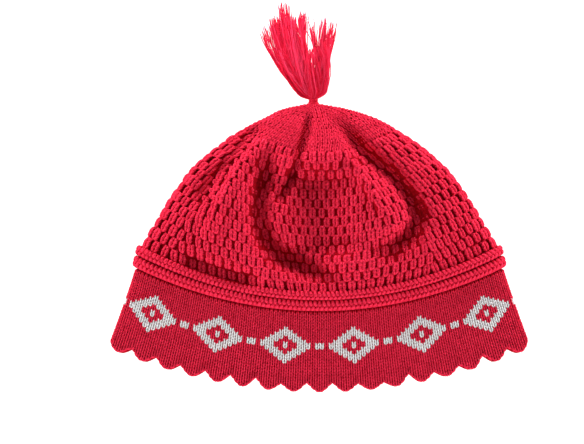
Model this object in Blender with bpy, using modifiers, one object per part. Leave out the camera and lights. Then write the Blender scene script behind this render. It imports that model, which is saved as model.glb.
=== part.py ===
"""A knitted skullcap, lying on its flat back with the front layer up.

Metres, +Z up. +X is across the hat, +Y runs from the scalloped hem to the tassel. The cloth pieces share
one form: a flattened tube whose rows run round the hat, from the hem (along = 0) to the apex (along = 1).
On every row a turn of 0 is the middle of the front layer, a quarter turn either way is a side fold, and a
half turn is the back layer.
"""

import math
from collections import namedtuple

import bmesh
import bpy
import numpy as np

# The hat as it lies
HAT_WIDTH = 0.260
HEM_BOW = 0.028
CREST_HEIGHT = 0.038
SIDE_HEIGHT = 0.006
BACK_SETBACK = 0.005
APEX_SHIFT = -0.0037

# Its rows, from the hem up
BAND_HEIGHT = 0.0497
LOWER_WELT_WIDTH = 0.0062
UPPER_WELT_WIDTH = 0.0054
CROWN_HEIGHT = 0.1145
SCALLOP_COUNT = 34
SCALLOP_DEPTH = 0.0042

# Cloth
BAND_WALL = 0.0022
CROWN_WALL = 0.0026
WELT_PROUD = 0.0018
WELT_SHOULDER = 0.8
PIECE_GAP = 0.0003

# Tassel
NECK_RADIUS = 0.0017
TASSEL_LENGTH = 0.057
LOCK_WIDTH = 0.0110
STEM_LENGTH = 0.005
TIE_LENGTH = 0.0055
TIE_THREAD = 0.0011
TIE_TURNS = 4
THREAD_DIP = 0.7

# Fineness of the faceted solids
CROWN_COLUMNS = 72
CROWN_ROWS = 21
COLUMNS_PER_SCALLOP = 4
TURN_WEIGHT = 0.35
BACK_WEIGHT = 0.4
TURN_SAMPLES = 2001
SHARP_ANGLE = math.radians(50)
TIE_SEGMENTS = 16
LOCK_SIDES = 8
LOCK_RINGS = 8

# Shape of a cross-section and of the scallops' tabs
ARCH = 0.9
FLAT_FACING = 0.35
TAB_ROUNDNESS = 0.6
ABOVE_SCALLOPS = 1.6
BAND_MIDDLE = 0.55

# The crown closes round the tassel's neck
APEX_RADIUS = NECK_RADIUS + PIECE_GAP + CROWN_WALL

# Each row: where it is along the hat, then shares of half HAT_WIDTH, HEM_BOW, CREST_HEIGHT and APEX_SHIFT
Section = namedtuple("Section", "along width bow rise shift")
SECTIONS = (
    Section(along=0.00, width=1.000, bow=0.96, rise=0.47, shift=0.0),
    Section(along=0.15, width=0.925, bow=0.98, rise=0.55, shift=0.0),
    Section(along=0.28, width=0.870, bow=0.94, rise=0.68, shift=0.0),
    Section(along=0.35, width=0.842, bow=0.99, rise=0.80, shift=0.0),
    Section(along=0.42, width=0.780, bow=1.04, rise=0.92, shift=0.0),
    Section(along=0.52, width=0.696, bow=1.04, rise=1.00, shift=0.0),
    Section(along=0.63, width=0.596, bow=0.95, rise=0.99, shift=0.0),
    Section(along=0.73, width=0.487, bow=0.76, rise=0.92, shift=0.0),
    Section(along=0.82, width=0.373, bow=0.56, rise=0.79, shift=0.0),
    Section(along=0.90, width=0.251, bow=0.35, rise=0.60, shift=0.0),
    Section(along=0.96, width=0.145, bow=0.15, rise=0.38, shift=0.7),
    Section(along=1.00, width=2 * APEX_RADIUS / HAT_WIDTH, bow=0.00, rise=2 * APEX_RADIUS / CREST_HEIGHT,
            shift=1.0),
)

# Dents of the front layer; a ridge has a negative depth. depth is a share of CREST_HEIGHT, and width of
# HAT_WIDTH. The route's points are (share of the row's half width, along).
Fold = namedtuple("Fold", "name depth width route")
FOLDS = (
    Fold("main_valley", depth=0.39, width=0.027, route=(
        (-0.58, 0.84), (-0.55, 0.77), (-0.49, 0.69), (-0.46, 0.62), (-0.42, 0.56), (-0.36, 0.515),
        (-0.26, 0.475), (-0.10, 0.445), (0.04, 0.435))),
    Fold("panel_crease", depth=0.16, width=0.014, route=(
        (-0.22, 0.98), (-0.29, 0.90), (-0.27, 0.80), (-0.28, 0.73), (-0.32, 0.66), (-0.28, 0.61))),
    Fold("left_valley", depth=0.19, width=0.021, route=(
        (-0.93, 0.89), (-0.86, 0.81), (-0.81, 0.73), (-0.83, 0.65), (-0.84, 0.56), (-0.85, 0.50))),
    Fold("left_ridge", depth=-0.09, width=0.022, route=(
        (-0.80, 0.85), (-0.75, 0.72), (-0.72, 0.60), (-0.68, 0.50), (-0.70, 0.41))),
    Fold("right_valley", depth=0.38, width=0.024, route=(
        (0.45, 0.965), (0.44, 0.89), (0.49, 0.82), (0.58, 0.75), (0.65, 0.67), (0.68, 0.59), (0.67, 0.53),
        (0.59, 0.485), (0.45, 0.465), (0.25, 0.47))),
    Fold("panel_ridge", depth=-0.12, width=0.018, route=(
        (0.32, 0.93), (0.35, 0.86), (0.38, 0.80), (0.42, 0.72), (0.47, 0.62), (0.48, 0.53))),
    Fold("outer_ridge", depth=-0.07, width=0.013, route=(
        (0.50, 0.76), (0.57, 0.70), (0.60, 0.64), (0.60, 0.57))),
    Fold("centre_bowl", depth=0.30, width=0.080, route=(
        (-0.06, 0.80), (-0.05, 0.70), (-0.02, 0.56), (0.03, 0.42))),
    Fold("centre_rim", depth=-0.07, width=0.022, route=((-0.16, 0.80), (0.05, 0.815), (0.28, 0.80))),
)
FOLD_END = 0.22

# Each lock of the tassel: where its tip lies and how far its middle sways, in shares of TASSEL_LENGTH, and
# its width as a share of LOCK_WIDTH
Lock = namedtuple("Lock", "name across reach lift sway width")
LOCKS = (
    Lock("far_left", across=-0.49, reach=0.75, lift=0.02, sway=-0.22, width=0.50),
    Lock("left", across=-0.39, reach=0.88, lift=0.01, sway=-0.21, width=1.00),
    Lock("left_low", across=-0.31, reach=0.54, lift=0.05, sway=-0.16, width=0.85),
    Lock("left_top", across=-0.30, reach=1.00, lift=0.05, sway=-0.17, width=0.85),
    Lock("middle_left", across=-0.19, reach=0.86, lift=0.07, sway=-0.10, width=1.00),
    Lock("middle", across=-0.11, reach=0.90, lift=0.03, sway=-0.12, width=0.70),
    Lock("middle_low", across=-0.02, reach=0.52, lift=0.08, sway=-0.02, width=1.25),
    Lock("wisp", across=-0.03, reach=0.84, lift=0.02, sway=0.09, width=0.35),
    Lock("right", across=0.14, reach=0.84, lift=0.02, sway=-0.01, width=0.60),
    Lock("far_right", across=0.20, reach=0.83, lift=0.04, sway=0.03, width=0.50),
    Lock("right_low", across=0.08, reach=0.58, lift=0.06, sway=0.12, width=0.75),
)
LOCK_ROOT = 0.6
LOCK_SWELL = 0.35
LOCK_FLATNESS = 0.45
LOCK_TIP = 0.60
LOCK_CURL = 0.35
LOCK_LOFT = 0.02

# Colours and finish of the yarn
YARN_RED = (0.55, 0.012, 0.030, 1.0)
TASSEL_RED = (0.75, 0.020, 0.055, 1.0)
YARN_ROUGHNESS = 0.85

WELTS_START = BAND_HEIGHT + PIECE_GAP
UPPER_WELT_START = WELTS_START + LOWER_WELT_WIDTH + PIECE_GAP
CROWN_START = UPPER_WELT_START + UPPER_WELT_WIDTH + PIECE_GAP
HAT_LENGTH = CROWN_START + CROWN_HEIGHT

Row = namedtuple("Row", "half_width bow front side shift")


def table_value(rows, key, column, at):
    """A smooth curve through one column of a table, read at a value of the key column."""
    keys = [getattr(row, key) for row in rows]
    values = [getattr(row, column) for row in rows]
    slopes = np.gradient(values, keys)
    i = min(max(int(np.searchsorted(keys, at)) - 1, 0), len(keys) - 2)
    step = keys[i + 1] - keys[i]
    t = (at - keys[i]) / step
    return (
        (2 * t**3 - 3 * t**2 + 1) * values[i]
        + (t**3 - 2 * t**2 + t) * step * slopes[i]
        + (3 * t**2 - 2 * t**3) * values[i + 1]
        + (t**3 - t**2) * step * slopes[i + 1]
    )


def row_at(along):
    """The sizes of the cross-section at a share of the hat's length."""
    columns = Section._fields[1:]
    width, bow, rise, shift = (table_value(SECTIONS, "along", column, along) for column in columns)
    front = rise * CREST_HEIGHT
    return Row(
        half_width=max(width * HAT_WIDTH / 2, APEX_RADIUS),
        bow=bow * HEM_BOW,
        front=front,
        side=min(SIDE_HEIGHT, front / 2),
        shift=shift * APEX_SHIFT,
    )


def smoothstep(share):
    share = min(max(share, 0.0), 1.0)
    return share * share * (3 - 2 * share)


def flat_point(row, along, across):
    """Where a point of the front layer lies seen from above: across is a share of the row's half width."""
    return np.array((row.shift + across * row.half_width, along * HAT_LENGTH + row.bow * across**2))


def fold_lines():
    """Each fold's route as points seen from above."""
    return [
        (fold, np.array([flat_point(row_at(along), along, across) for across, along in fold.route]))
        for fold in FOLDS
    ]


def dent_depth(point, lines):
    """How deep the folds press the front layer at a point seen from above."""
    depth = 0.0
    for fold, line in lines:
        starts, steps = line[:-1], np.diff(line, axis=0)
        lengths = np.linalg.norm(steps, axis=1)
        share = np.clip(((point - starts) * steps).sum(axis=1) / lengths**2, 0, 1)
        distances = np.linalg.norm(point - starts - share[:, None] * steps, axis=1)
        nearest = int(distances.argmin())
        travelled = lengths[:nearest].sum() + share[nearest] * lengths[nearest]
        to_end = min(travelled, lengths.sum() - travelled) / lengths.sum()
        spread = distances[nearest] / (fold.width * HAT_WIDTH)
        depth += fold.depth * CREST_HEIGHT * math.exp(-spread**2) * smoothstep(to_end / FOLD_END)
    return depth


def hat_point(turn, along, inset, lines=()):
    """A point of the cloth: inset from its outer face or, where negative, proud of its front and sides."""
    row = row_at(along)
    across = math.sin(turn)
    roundness = min(max(row.front / (2 * row.half_width), FLAT_FACING), 1.0)
    facing = min(max(math.cos(turn) / roundness, -1.0), 1.0)
    x, y = flat_point(row, along, across * (1 - inset / row.half_width))
    if facing >= 0:
        height = row.side + (row.front - row.side) * max(math.cos(turn), 0.0) ** ARCH
        height -= dent_depth(flat_point(row, along, across), lines) * smoothstep(facing)
        height -= inset * facing
    else:
        height = row.side * (1 + facing) ** 2
        height -= max(inset, 0.0) * facing
        y -= BACK_SETBACK * (1 - along) * math.cos(turn)
    return x, y, height


def even_turns(count, along, turn_weight=0.0, back_weight=1.0):
    """Turns spaced evenly round a row, or closer at the tight side folds and wider on the flat back."""
    turns = np.linspace(-math.pi, math.pi, TURN_SAMPLES)
    points = np.array([hat_point(turn, along, 0.0) for turn in turns])
    steps = np.linalg.norm(np.diff(points, axis=0), axis=1)
    shares = steps / steps.sum() * (1 - turn_weight) + turn_weight / len(steps)
    shares *= np.where(np.abs(turns[1:]) > math.pi / 2, back_weight, 1.0)
    travelled = np.concatenate([[0.0], np.cumsum(shares)]) / shares.sum()
    return np.interp(np.arange(count) / count, travelled, turns)


def loft(name, rings, closed, material, collection):
    """One solid through rings of points: closed on itself like a tyre, or with a cap at both ends."""
    mesh = bmesh.new()
    grid = [[mesh.verts.new(point) for point in ring] for ring in rings]
    sides = len(grid[0])
    spans = list(zip(grid, grid[1:]))
    if closed:
        spans.append((grid[-1], grid[0]))
    else:
        mesh.faces.new(grid[0])
        mesh.faces.new(reversed(grid[-1]))
    for ring, following in spans:
        for i in range(sides):
            j = (i + 1) % sides
            mesh.faces.new((ring[i], following[i], following[j], ring[j]))
    bmesh.ops.recalc_face_normals(mesh, faces=mesh.faces)
    data = bpy.data.meshes.new(name)
    mesh.to_mesh(data)
    mesh.free()
    data.shade_smooth()
    data.set_sharp_from_angle(angle=SHARP_ANGLE)
    data.materials.append(material)
    piece = bpy.data.objects.new(name, data)
    collection.objects.link(piece)
    return piece


def make_crown(material, collection):
    lines = fold_lines()
    start = CROWN_START / HAT_LENGTH
    rows = np.linspace(start, 1.0, CROWN_ROWS)
    rings = []
    for turn in even_turns(CROWN_COLUMNS, start, TURN_WEIGHT, BACK_WEIGHT):
        outer = [hat_point(turn, along, 0.0, lines) for along in rows]
        inner = [hat_point(turn, along, CROWN_WALL, lines) for along in reversed(rows)]
        rings.append(outer + inner)
    return loft("crown", rings, True, material, collection)


def make_welt(name, start, width, material, collection):
    """A rolled ridge: flush inside, round and proud outside, pressed flat under the hat."""
    shoulder = WELT_SHOULDER * WELT_PROUD
    profile = [(0.0, BAND_WALL), (0.0, 0.0), (0.2, -shoulder), (0.5, -WELT_PROUD), (0.8, -shoulder),
               (1.0, 0.0), (1.0, BAND_WALL)]
    rings = [
        [hat_point(turn, (start + share * width) / HAT_LENGTH, inset) for share, inset in profile]
        for turn in even_turns(CROWN_COLUMNS, start / HAT_LENGTH, TURN_WEIGHT, BACK_WEIGHT)
    ]
    return loft(name, rings, True, material, collection)


def make_band(material, collection):
    """The flared band. Its lowest row follows the scallops, with a sharp notch between two round tabs."""
    turns = even_turns(SCALLOP_COUNT * COLUMNS_PER_SCALLOP, 0.0)
    rings = []
    for column, turn in enumerate(turns):
        phase = (column / COLUMNS_PER_SCALLOP + 0.5) % 1.0
        hem = SCALLOP_DEPTH * (1 - math.sin(math.pi * phase) ** TAB_ROUNDNESS)
        heights = [hem, SCALLOP_DEPTH * ABOVE_SCALLOPS, BAND_HEIGHT * BAND_MIDDLE, BAND_HEIGHT]
        outer = [hat_point(turn, height / HAT_LENGTH, 0.0) for height in heights]
        inner = [hat_point(turn, height / HAT_LENGTH, BAND_WALL) for height in reversed(heights)]
        rings.append(outer + inner)
    return loft("band", rings, True, material, collection)


def make_lock(lock, base, material, collection):
    """A lock of strands: a flat, swelling and tapering bundle on a curved route from the neck."""
    tip = base + TASSEL_LENGTH * np.array((lock.across, lock.reach, lock.lift))
    sway = lock.across * LOCK_CURL + lock.sway
    bend = base + TASSEL_LENGTH * np.array((sway, lock.reach / 2, lock.lift + LOCK_LOFT))
    root = LOCK_ROOT * NECK_RADIUS
    rings = []
    for share in np.linspace(0, 1, LOCK_RINGS):
        centre = (1 - share) ** 2 * base + 2 * share * (1 - share) * bend + share**2 * tip
        heading = (1 - share) * (bend - base) + share * (tip - bend)
        side = np.cross(heading, (0, 0, 1))
        side /= np.linalg.norm(side)
        swell = smoothstep(share / LOCK_SWELL)
        taper = 1 - (1 - LOCK_TIP) * smoothstep((share - LOCK_SWELL) / (1 - LOCK_SWELL))
        taper *= 1 - share**8 / 2
        half_width = root * (1 - swell) + lock.width * LOCK_WIDTH / 2 * swell * taper
        half_height = min(half_width, root + LOCK_FLATNESS * half_width * swell)
        rings.append([
            centre + half_width * math.cos(angle) * side + half_height * math.sin(angle) * np.array((0, 0, 1))
            for angle in np.arange(LOCK_SIDES) * 2 * math.pi / LOCK_SIDES
        ])
    piece = loft(f"lock_{lock.name}", rings, False, material, collection)
    piece.hide_render = True
    piece.display_type = "WIRE"
    return piece


def make_tassel(apex, material, collection, cutters):
    """The neck, with a stem in the crown's hole, joined to the locks."""
    length = STEM_LENGTH + PIECE_GAP + TIE_LENGTH + PIECE_GAP
    bpy.ops.mesh.primitive_cylinder_add(vertices=TIE_SEGMENTS, radius=NECK_RADIUS, depth=length)
    tassel = bpy.context.object
    tassel.name = tassel.data.name = "tassel"
    tassel.rotation_euler.x = math.pi / 2
    tassel.location = apex + np.array((0, length / 2 - STEM_LENGTH, 0))
    tassel.data.materials.append(material)
    tassel.users_collection[0].objects.unlink(tassel)
    collection.objects.link(tassel)
    base = apex + np.array((0, length - STEM_LENGTH - NECK_RADIUS / 4, 0))
    for lock in LOCKS:
        make_lock(lock, base, material, cutters)
    fuse = tassel.modifiers.new("locks", "BOOLEAN")
    fuse.operation = "UNION"
    fuse.operand_type = "COLLECTION"
    fuse.collection = cutters
    return tassel


def make_tassel_tie(apex, material, collection):
    """The thread wound round the neck: a turned sleeve with one rib for each turn of the thread."""
    inner = NECK_RADIUS + PIECE_GAP
    pitch = TIE_LENGTH / TIE_TURNS
    profile = [(inner, TIE_LENGTH / 2)]
    for turn in range(TIE_TURNS):
        top = TIE_LENGTH / 2 - turn * pitch
        profile += [(inner + TIE_THREAD * THREAD_DIP, top), (inner + TIE_THREAD, top - pitch / 2)]
    profile += [(inner + TIE_THREAD * THREAD_DIP, -TIE_LENGTH / 2), (inner, -TIE_LENGTH / 2)]
    data = bpy.data.meshes.new("tassel_tie")
    corners = range(len(profile))
    edges = [(i, (i + 1) % len(profile)) for i in corners]
    data.from_pydata([(radius, 0, height) for radius, height in profile], edges, [])
    data.materials.append(material)
    tie = bpy.data.objects.new("tassel_tie", data)
    collection.objects.link(tie)
    turned = tie.modifiers.new("turned", "SCREW")
    turned.steps = turned.render_steps = TIE_SEGMENTS
    turned.use_merge_vertices = True
    turned.merge_threshold = 0.00001
    tie.rotation_euler.x = math.pi / 2
    tie.location = apex + np.array((0, PIECE_GAP + TIE_LENGTH / 2, 0))
    return tie


def yarn(name, colour):
    material = bpy.data.materials.new(name)
    material.use_nodes = True
    shader = material.node_tree.nodes["Principled BSDF"]
    shader.inputs["Base Color"].default_value = colour
    shader.inputs["Roughness"].default_value = YARN_ROUGHNESS
    shader.inputs["Metallic"].default_value = 0.0
    material.diffuse_color = colour
    return material


def new_collection(name):
    collection = bpy.data.collections.new(name)
    bpy.context.scene.collection.children.link(collection)
    return collection


def centre_on_origin(pieces, cutters, collection):
    """Parent everything to an empty that brings the middle of the hat's underside to the origin."""
    bpy.context.view_layer.update()
    graph = bpy.context.evaluated_depsgraph_get()
    corners = []
    for piece in pieces:
        evaluated = piece.evaluated_get(graph)
        corners += [piece.matrix_world @ vertex.co for vertex in evaluated.data.vertices]
    corners = np.array(corners)
    low, high = corners.min(axis=0), corners.max(axis=0)
    root = bpy.data.objects.new("hat_origin", None)
    collection.objects.link(root)
    root.location = (-(low[0] + high[0]) / 2, -(low[1] + high[1]) / 2, -low[2])
    for thing in [*pieces, *cutters.objects]:
        thing.parent = root


def main():
    for thing in list(bpy.data.objects):
        bpy.data.objects.remove(thing, do_unlink=True)
    hat = new_collection("knitted_skullcap")
    cutters = new_collection("tassel_locks")
    knit = yarn("red_knit", YARN_RED)
    strands = yarn("tassel_strands", TASSEL_RED)
    apex = np.array((row_at(1.0).shift, HAT_LENGTH, row_at(1.0).front / 2))
    pieces = [
        make_crown(knit, hat),
        make_welt("upper_welt", UPPER_WELT_START, UPPER_WELT_WIDTH, knit, hat),
        make_welt("lower_welt", WELTS_START, LOWER_WELT_WIDTH, knit, hat),
        make_band(knit, hat),
        make_tassel(apex, strands, hat, cutters),
        make_tassel_tie(apex, strands, hat),
    ]
    centre_on_origin(pieces, cutters, hat)


main()
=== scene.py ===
"""A knitted skullcap with a tassel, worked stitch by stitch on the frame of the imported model.

Metres, +Z up. The cap lies on its flat back: +X is across it and +Y runs from its scalloped hem to its
tassel. Every stitch has a place on one form, a flattened tube whose rows run round the cap. On each row a
turn of 0 is the middle of the front layer, a quarter turn is a side fold and a half turn is the back layer.
"""

from __future__ import annotations

import logging
import math
from collections.abc import Callable
from dataclasses import dataclass, field, fields, replace
from enum import Enum
from itertools import product
from typing import NamedTuple

import bmesh
import bpy
import numpy as np
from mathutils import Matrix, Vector

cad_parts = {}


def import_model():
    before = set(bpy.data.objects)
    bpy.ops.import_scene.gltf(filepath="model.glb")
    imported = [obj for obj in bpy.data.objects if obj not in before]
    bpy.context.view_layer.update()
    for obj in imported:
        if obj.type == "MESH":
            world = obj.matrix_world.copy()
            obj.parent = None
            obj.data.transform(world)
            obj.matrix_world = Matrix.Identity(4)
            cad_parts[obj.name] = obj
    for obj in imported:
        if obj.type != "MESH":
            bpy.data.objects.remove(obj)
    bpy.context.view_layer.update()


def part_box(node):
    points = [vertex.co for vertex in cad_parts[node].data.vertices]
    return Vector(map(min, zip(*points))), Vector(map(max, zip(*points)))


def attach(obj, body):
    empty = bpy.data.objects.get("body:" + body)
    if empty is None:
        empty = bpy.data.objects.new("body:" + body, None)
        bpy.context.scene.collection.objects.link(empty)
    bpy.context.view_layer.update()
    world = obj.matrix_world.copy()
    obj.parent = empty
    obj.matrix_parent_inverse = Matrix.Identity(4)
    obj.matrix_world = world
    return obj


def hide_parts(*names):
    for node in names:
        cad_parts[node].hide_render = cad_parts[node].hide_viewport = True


LOG = logging.getLogger("skullcap")
MM = 0.001
TINY = 1e-12
FRONT_EDGE = math.radians(100)
# The size that a unit knit stitch is drawn for, and the length of yarn that is 1 on its UV map
KNIT_WALE = 2.84 * MM
KNIT_COURSE = 1.9 * MM
YARN_UNIT = 10 * MM
WHITE = (1.0, 1.0, 1.0, 1.0)

Triple = tuple[float, float, float]
Route = tuple[tuple[float, float], ...]
Inputs = dict[str | int, object]


def smoothstep(share: np.ndarray) -> np.ndarray:
    """Ease a share from 0 to 1 with flat ends."""
    share = np.clip(share, 0.0, 1.0)
    return share * share * (3 - 2 * share)


def unit(vectors: np.ndarray) -> np.ndarray:
    """Scale each row of vectors to length 1."""
    return vectors / np.maximum(np.linalg.norm(vectors, axis=-1, keepdims=True), TINY)


class Slot(Enum):
    """The record's material slots."""

    CROWN = "red_knit"
    BAND = "band_knit"
    TASSEL = "tassel_strands"


class Section(NamedTuple):
    """One row of the form: where it is along the cap, then shares of its overall sizes."""

    along: float
    width: float
    bow: float
    rise: float
    shift: float = 0.0


class Fold(NamedTuple):
    """A dent of the front layer, or a ridge where its depth is negative, and its route seen from above."""

    name: str
    depth: float
    width: float
    route: Route


class Lock(NamedTuple):
    """A lock of the tassel: its tip and the sway of its middle in tassel lengths, and its width."""

    name: str
    across: float
    reach: float
    lift: float
    sway: float
    width: float
    strands: int


class Panel(NamedTuple):
    """A stretch of rows whose wales run beside one line.

    anchor is that line, and edge is where the next panel begins, both as (along, turn in degrees). stretch
    widens the pitch of its stitches.
    """

    name: str
    anchor: Route
    edge: Route
    stretch: float = 1.0


class Strand(NamedTuple):
    """A length of yarn in a stitch: its points and the radius at each, in millimetres."""

    points: tuple[Triple, ...]
    radii: tuple[float, ...]


class Thread(NamedTuple):
    """A loose length of yarn: its points, the radius at each and its tint."""

    points: np.ndarray
    radii: np.ndarray
    tint: float


class Light(NamedTuple):
    """A soft studio light, in metres, watts and degrees: where it is, how strong and large, and its aim."""

    name: str
    place: Triple
    power: float
    width: float = 1.6
    height: float = 0.5
    aim: tuple[float, float] = (0.0, -0.02)
    spread: float = 180.0


SECTIONS = (
    Section(along=0.00, width=1.000, bow=0.96, rise=0.47),
    Section(along=0.15, width=0.925, bow=0.98, rise=0.55),
    Section(along=0.28, width=0.870, bow=0.94, rise=0.68),
    Section(along=0.35, width=0.842, bow=0.99, rise=0.80),
    Section(along=0.42, width=0.780, bow=1.04, rise=0.92),
    Section(along=0.52, width=0.696, bow=1.04, rise=1.00),
    Section(along=0.63, width=0.596, bow=0.95, rise=0.99),
    Section(along=0.73, width=0.487, bow=0.76, rise=0.92),
    Section(along=0.82, width=0.373, bow=0.56, rise=0.79),
    Section(along=0.90, width=0.251, bow=0.35, rise=0.60),
    Section(along=0.96, width=0.145, bow=0.15, rise=0.38, shift=0.7),
    Section(along=1.00, width=0.0354, bow=0.00, rise=0.2421, shift=1.0),
)

FOLDS = (
    Fold("main_valley", depth=0.42, width=0.024, route=(
        (-0.58, 0.84), (-0.55, 0.77), (-0.49, 0.69), (-0.46, 0.62), (-0.42, 0.56), (-0.36, 0.51),
        (-0.26, 0.462), (-0.10, 0.425), (0.04, 0.41), (0.20, 0.405))),
    Fold("panel_crease", depth=0.21, width=0.011, route=(
        (-0.20, 0.98), (-0.24, 0.90), (-0.25, 0.80), (-0.28, 0.73), (-0.32, 0.66), (-0.28, 0.61))),
    Fold("left_tuck", depth=0.17, width=0.018, route=(
        (-0.80, 0.37), (-0.64, 0.368), (-0.48, 0.365), (-0.32, 0.365))),
    Fold("left_valley", depth=0.19, width=0.021, route=(
        (-0.93, 0.89), (-0.86, 0.81), (-0.81, 0.73), (-0.83, 0.65), (-0.84, 0.56), (-0.85, 0.50))),
    Fold("left_ridge", depth=-0.09, width=0.022, route=(
        (-0.80, 0.85), (-0.75, 0.72), (-0.72, 0.60), (-0.68, 0.50), (-0.70, 0.41))),
    Fold("right_valley", depth=0.38, width=0.024, route=(
        (0.45, 0.965), (0.44, 0.89), (0.49, 0.82), (0.58, 0.75), (0.65, 0.67), (0.68, 0.59), (0.67, 0.53),
        (0.59, 0.485), (0.45, 0.465), (0.25, 0.47))),
    Fold("panel_ridge", depth=-0.12, width=0.018, route=(
        (0.32, 0.93), (0.35, 0.86), (0.38, 0.80), (0.42, 0.72), (0.47, 0.62), (0.48, 0.53))),
    Fold("outer_ridge", depth=-0.07, width=0.013, route=(
        (0.50, 0.76), (0.57, 0.70), (0.60, 0.64), (0.60, 0.57))),
    Fold("centre_bowl", depth=0.42, width=0.085, route=(
        (-0.06, 0.80), (-0.05, 0.70), (-0.02, 0.56), (0.03, 0.42))),
    Fold("centre_rim", depth=-0.07, width=0.022, route=((-0.16, 0.80), (0.05, 0.815), (0.28, 0.80))),
)

LOCKS = (
    Lock("far_left", across=-0.50, reach=0.76, lift=0.02, sway=-0.24, width=0.42, strands=16),
    Lock("left", across=-0.40, reach=0.86, lift=0.01, sway=-0.21, width=0.90, strands=52),
    Lock("left_low", across=-0.33, reach=0.55, lift=0.05, sway=-0.18, width=0.85, strands=38),
    Lock("left_top", across=-0.30, reach=1.00, lift=0.05, sway=-0.17, width=0.75, strands=52),
    Lock("middle_left", across=-0.20, reach=0.86, lift=0.07, sway=-0.10, width=1.00, strands=60),
    Lock("middle", across=-0.11, reach=0.90, lift=0.03, sway=-0.12, width=0.60, strands=36),
    Lock("middle_low", across=-0.04, reach=0.52, lift=0.08, sway=-0.04, width=1.15, strands=56),
    Lock("wisp", across=-0.04, reach=0.84, lift=0.02, sway=0.06, width=0.24, strands=12),
    Lock("right", across=0.12, reach=0.84, lift=0.02, sway=-0.01, width=0.50, strands=28),
    Lock("far_right", across=0.21, reach=0.82, lift=0.04, sway=0.03, width=0.42, strands=22),
    Lock("right_low", across=0.09, reach=0.60, lift=0.06, sway=0.10, width=0.70, strands=32),
)


def straight(turn: float) -> Route:
    """A line that stays at one turn from the hem to the apex."""
    return (0.0, turn), (1.0, turn)


BOBBLE_PANELS = (
    Panel("back", anchor=straight(-180), edge=straight(-128)),
    Panel("left_side", anchor=straight(-90), stretch=1.10,
          edge=((0.35, -56), (0.46, -57.5), (0.54, -57), (0.63, -57.5), (0.73, -54), (0.81, -57), (0.86, -61))),
    Panel("left_panel", stretch=1.05,
          anchor=((0.35, -22.1), (0.42, -24), (0.52, -27.1), (0.60, -31), (0.68, -36.4), (0.75, -42.9),
                  (0.80, -50), (0.83, -54)),
          edge=((0.35, -16), (0.45, -17.5), (0.50, -19.8), (0.54, -23.3), (0.58, -26.3), (0.69, -29),
                (0.75, -32.6), (0.84, -35.4))),
    Panel("wedge",
          anchor=((0.35, -9.2), (0.48, -12.9), (0.54, -16.7), (0.60, -19.9), (0.70, -21.4), (0.77, -22.4),
                  (0.84, -24.2)),
          edge=((0.35, -5), (0.55, -9), (0.62, -14), (0.66, -17), (0.73, -15.5), (0.81, -15.4), (0.85, -16.4))),
    Panel("centre", anchor=straight(1),
          edge=((0.35, 17), (0.45, 22), (0.54, 28.5), (0.59, 28), (0.65, 26), (0.73, 23.2), (0.82, 21.5),
                (0.86, 20))),
    Panel("right_panel",
          anchor=((0.35, 26), (0.42, 29), (0.50, 32), (0.57, 33), (0.63, 31.5), (0.71, 28.5), (0.79, 26),
                  (0.88, 25)),
          edge=((0.35, 40), (0.46, 40), (0.54, 42.4), (0.60, 42.4), (0.68, 40.4), (0.76, 35), (0.83, 28.5))),
    Panel("right_side", anchor=straight(90), edge=straight(128)),
)

TOP_PANELS = (
    Panel("back", anchor=straight(-180), edge=straight(-125)),
    Panel("left_side", anchor=straight(-90), edge=((0.83, -58), (0.86, -61), (0.90, -69), (1.0, -72))),
    Panel("left_panel", anchor=((0.83, -44), (0.90, -43), (1.0, -40)),
          edge=((0.83, -14.8), (0.90, -13.9), (0.97, -11.5), (1.0, -8))),
    Panel("centre", anchor=((0.83, 1.5), (1.0, 4)),
          edge=((0.83, 21.5), (0.86, 20.3), (0.90, 18.4), (0.945, 21.4), (1.0, 30))),
    Panel("right_panel", anchor=((0.83, 47), (0.90, 47), (1.0, 52)), edge=((0.83, 68), (1.0, 72))),
    Panel("right_side", anchor=straight(90), edge=straight(125)),
)

LIGHTS = (
    Light("north", place=(0.05, 1.25, 0.34), power=16.6),
    Light("south", place=(0.0, -1.25, 0.34), power=15.5),
    Light("west", place=(-1.25, 0.1, 0.34), power=14.4),
    Light("east", place=(1.25, 0.1, 0.34), power=13.2),
    Light("overhead", place=(0.0, -0.1, 1.7), power=3.6, width=1.2, height=1.2),
    Light("tassel", place=(-0.04, 0.36, 0.50), power=0.020, width=0.08, height=0.08, aim=(-0.012, 0.112),
          spread=14.0),
)

# Unit stitches, in millimetres on a flat cloth: x across, y up the wale, z out of the cloth


def mirrored(*strands: Strand) -> tuple[Strand, ...]:
    """Each strand, followed by its mirror image across the middle of the stitch."""
    return tuple(twin for strand in strands for twin in (
        strand, Strand(tuple((-x, y, z) for x, y, z in strand.points), strand.radii)))


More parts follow.
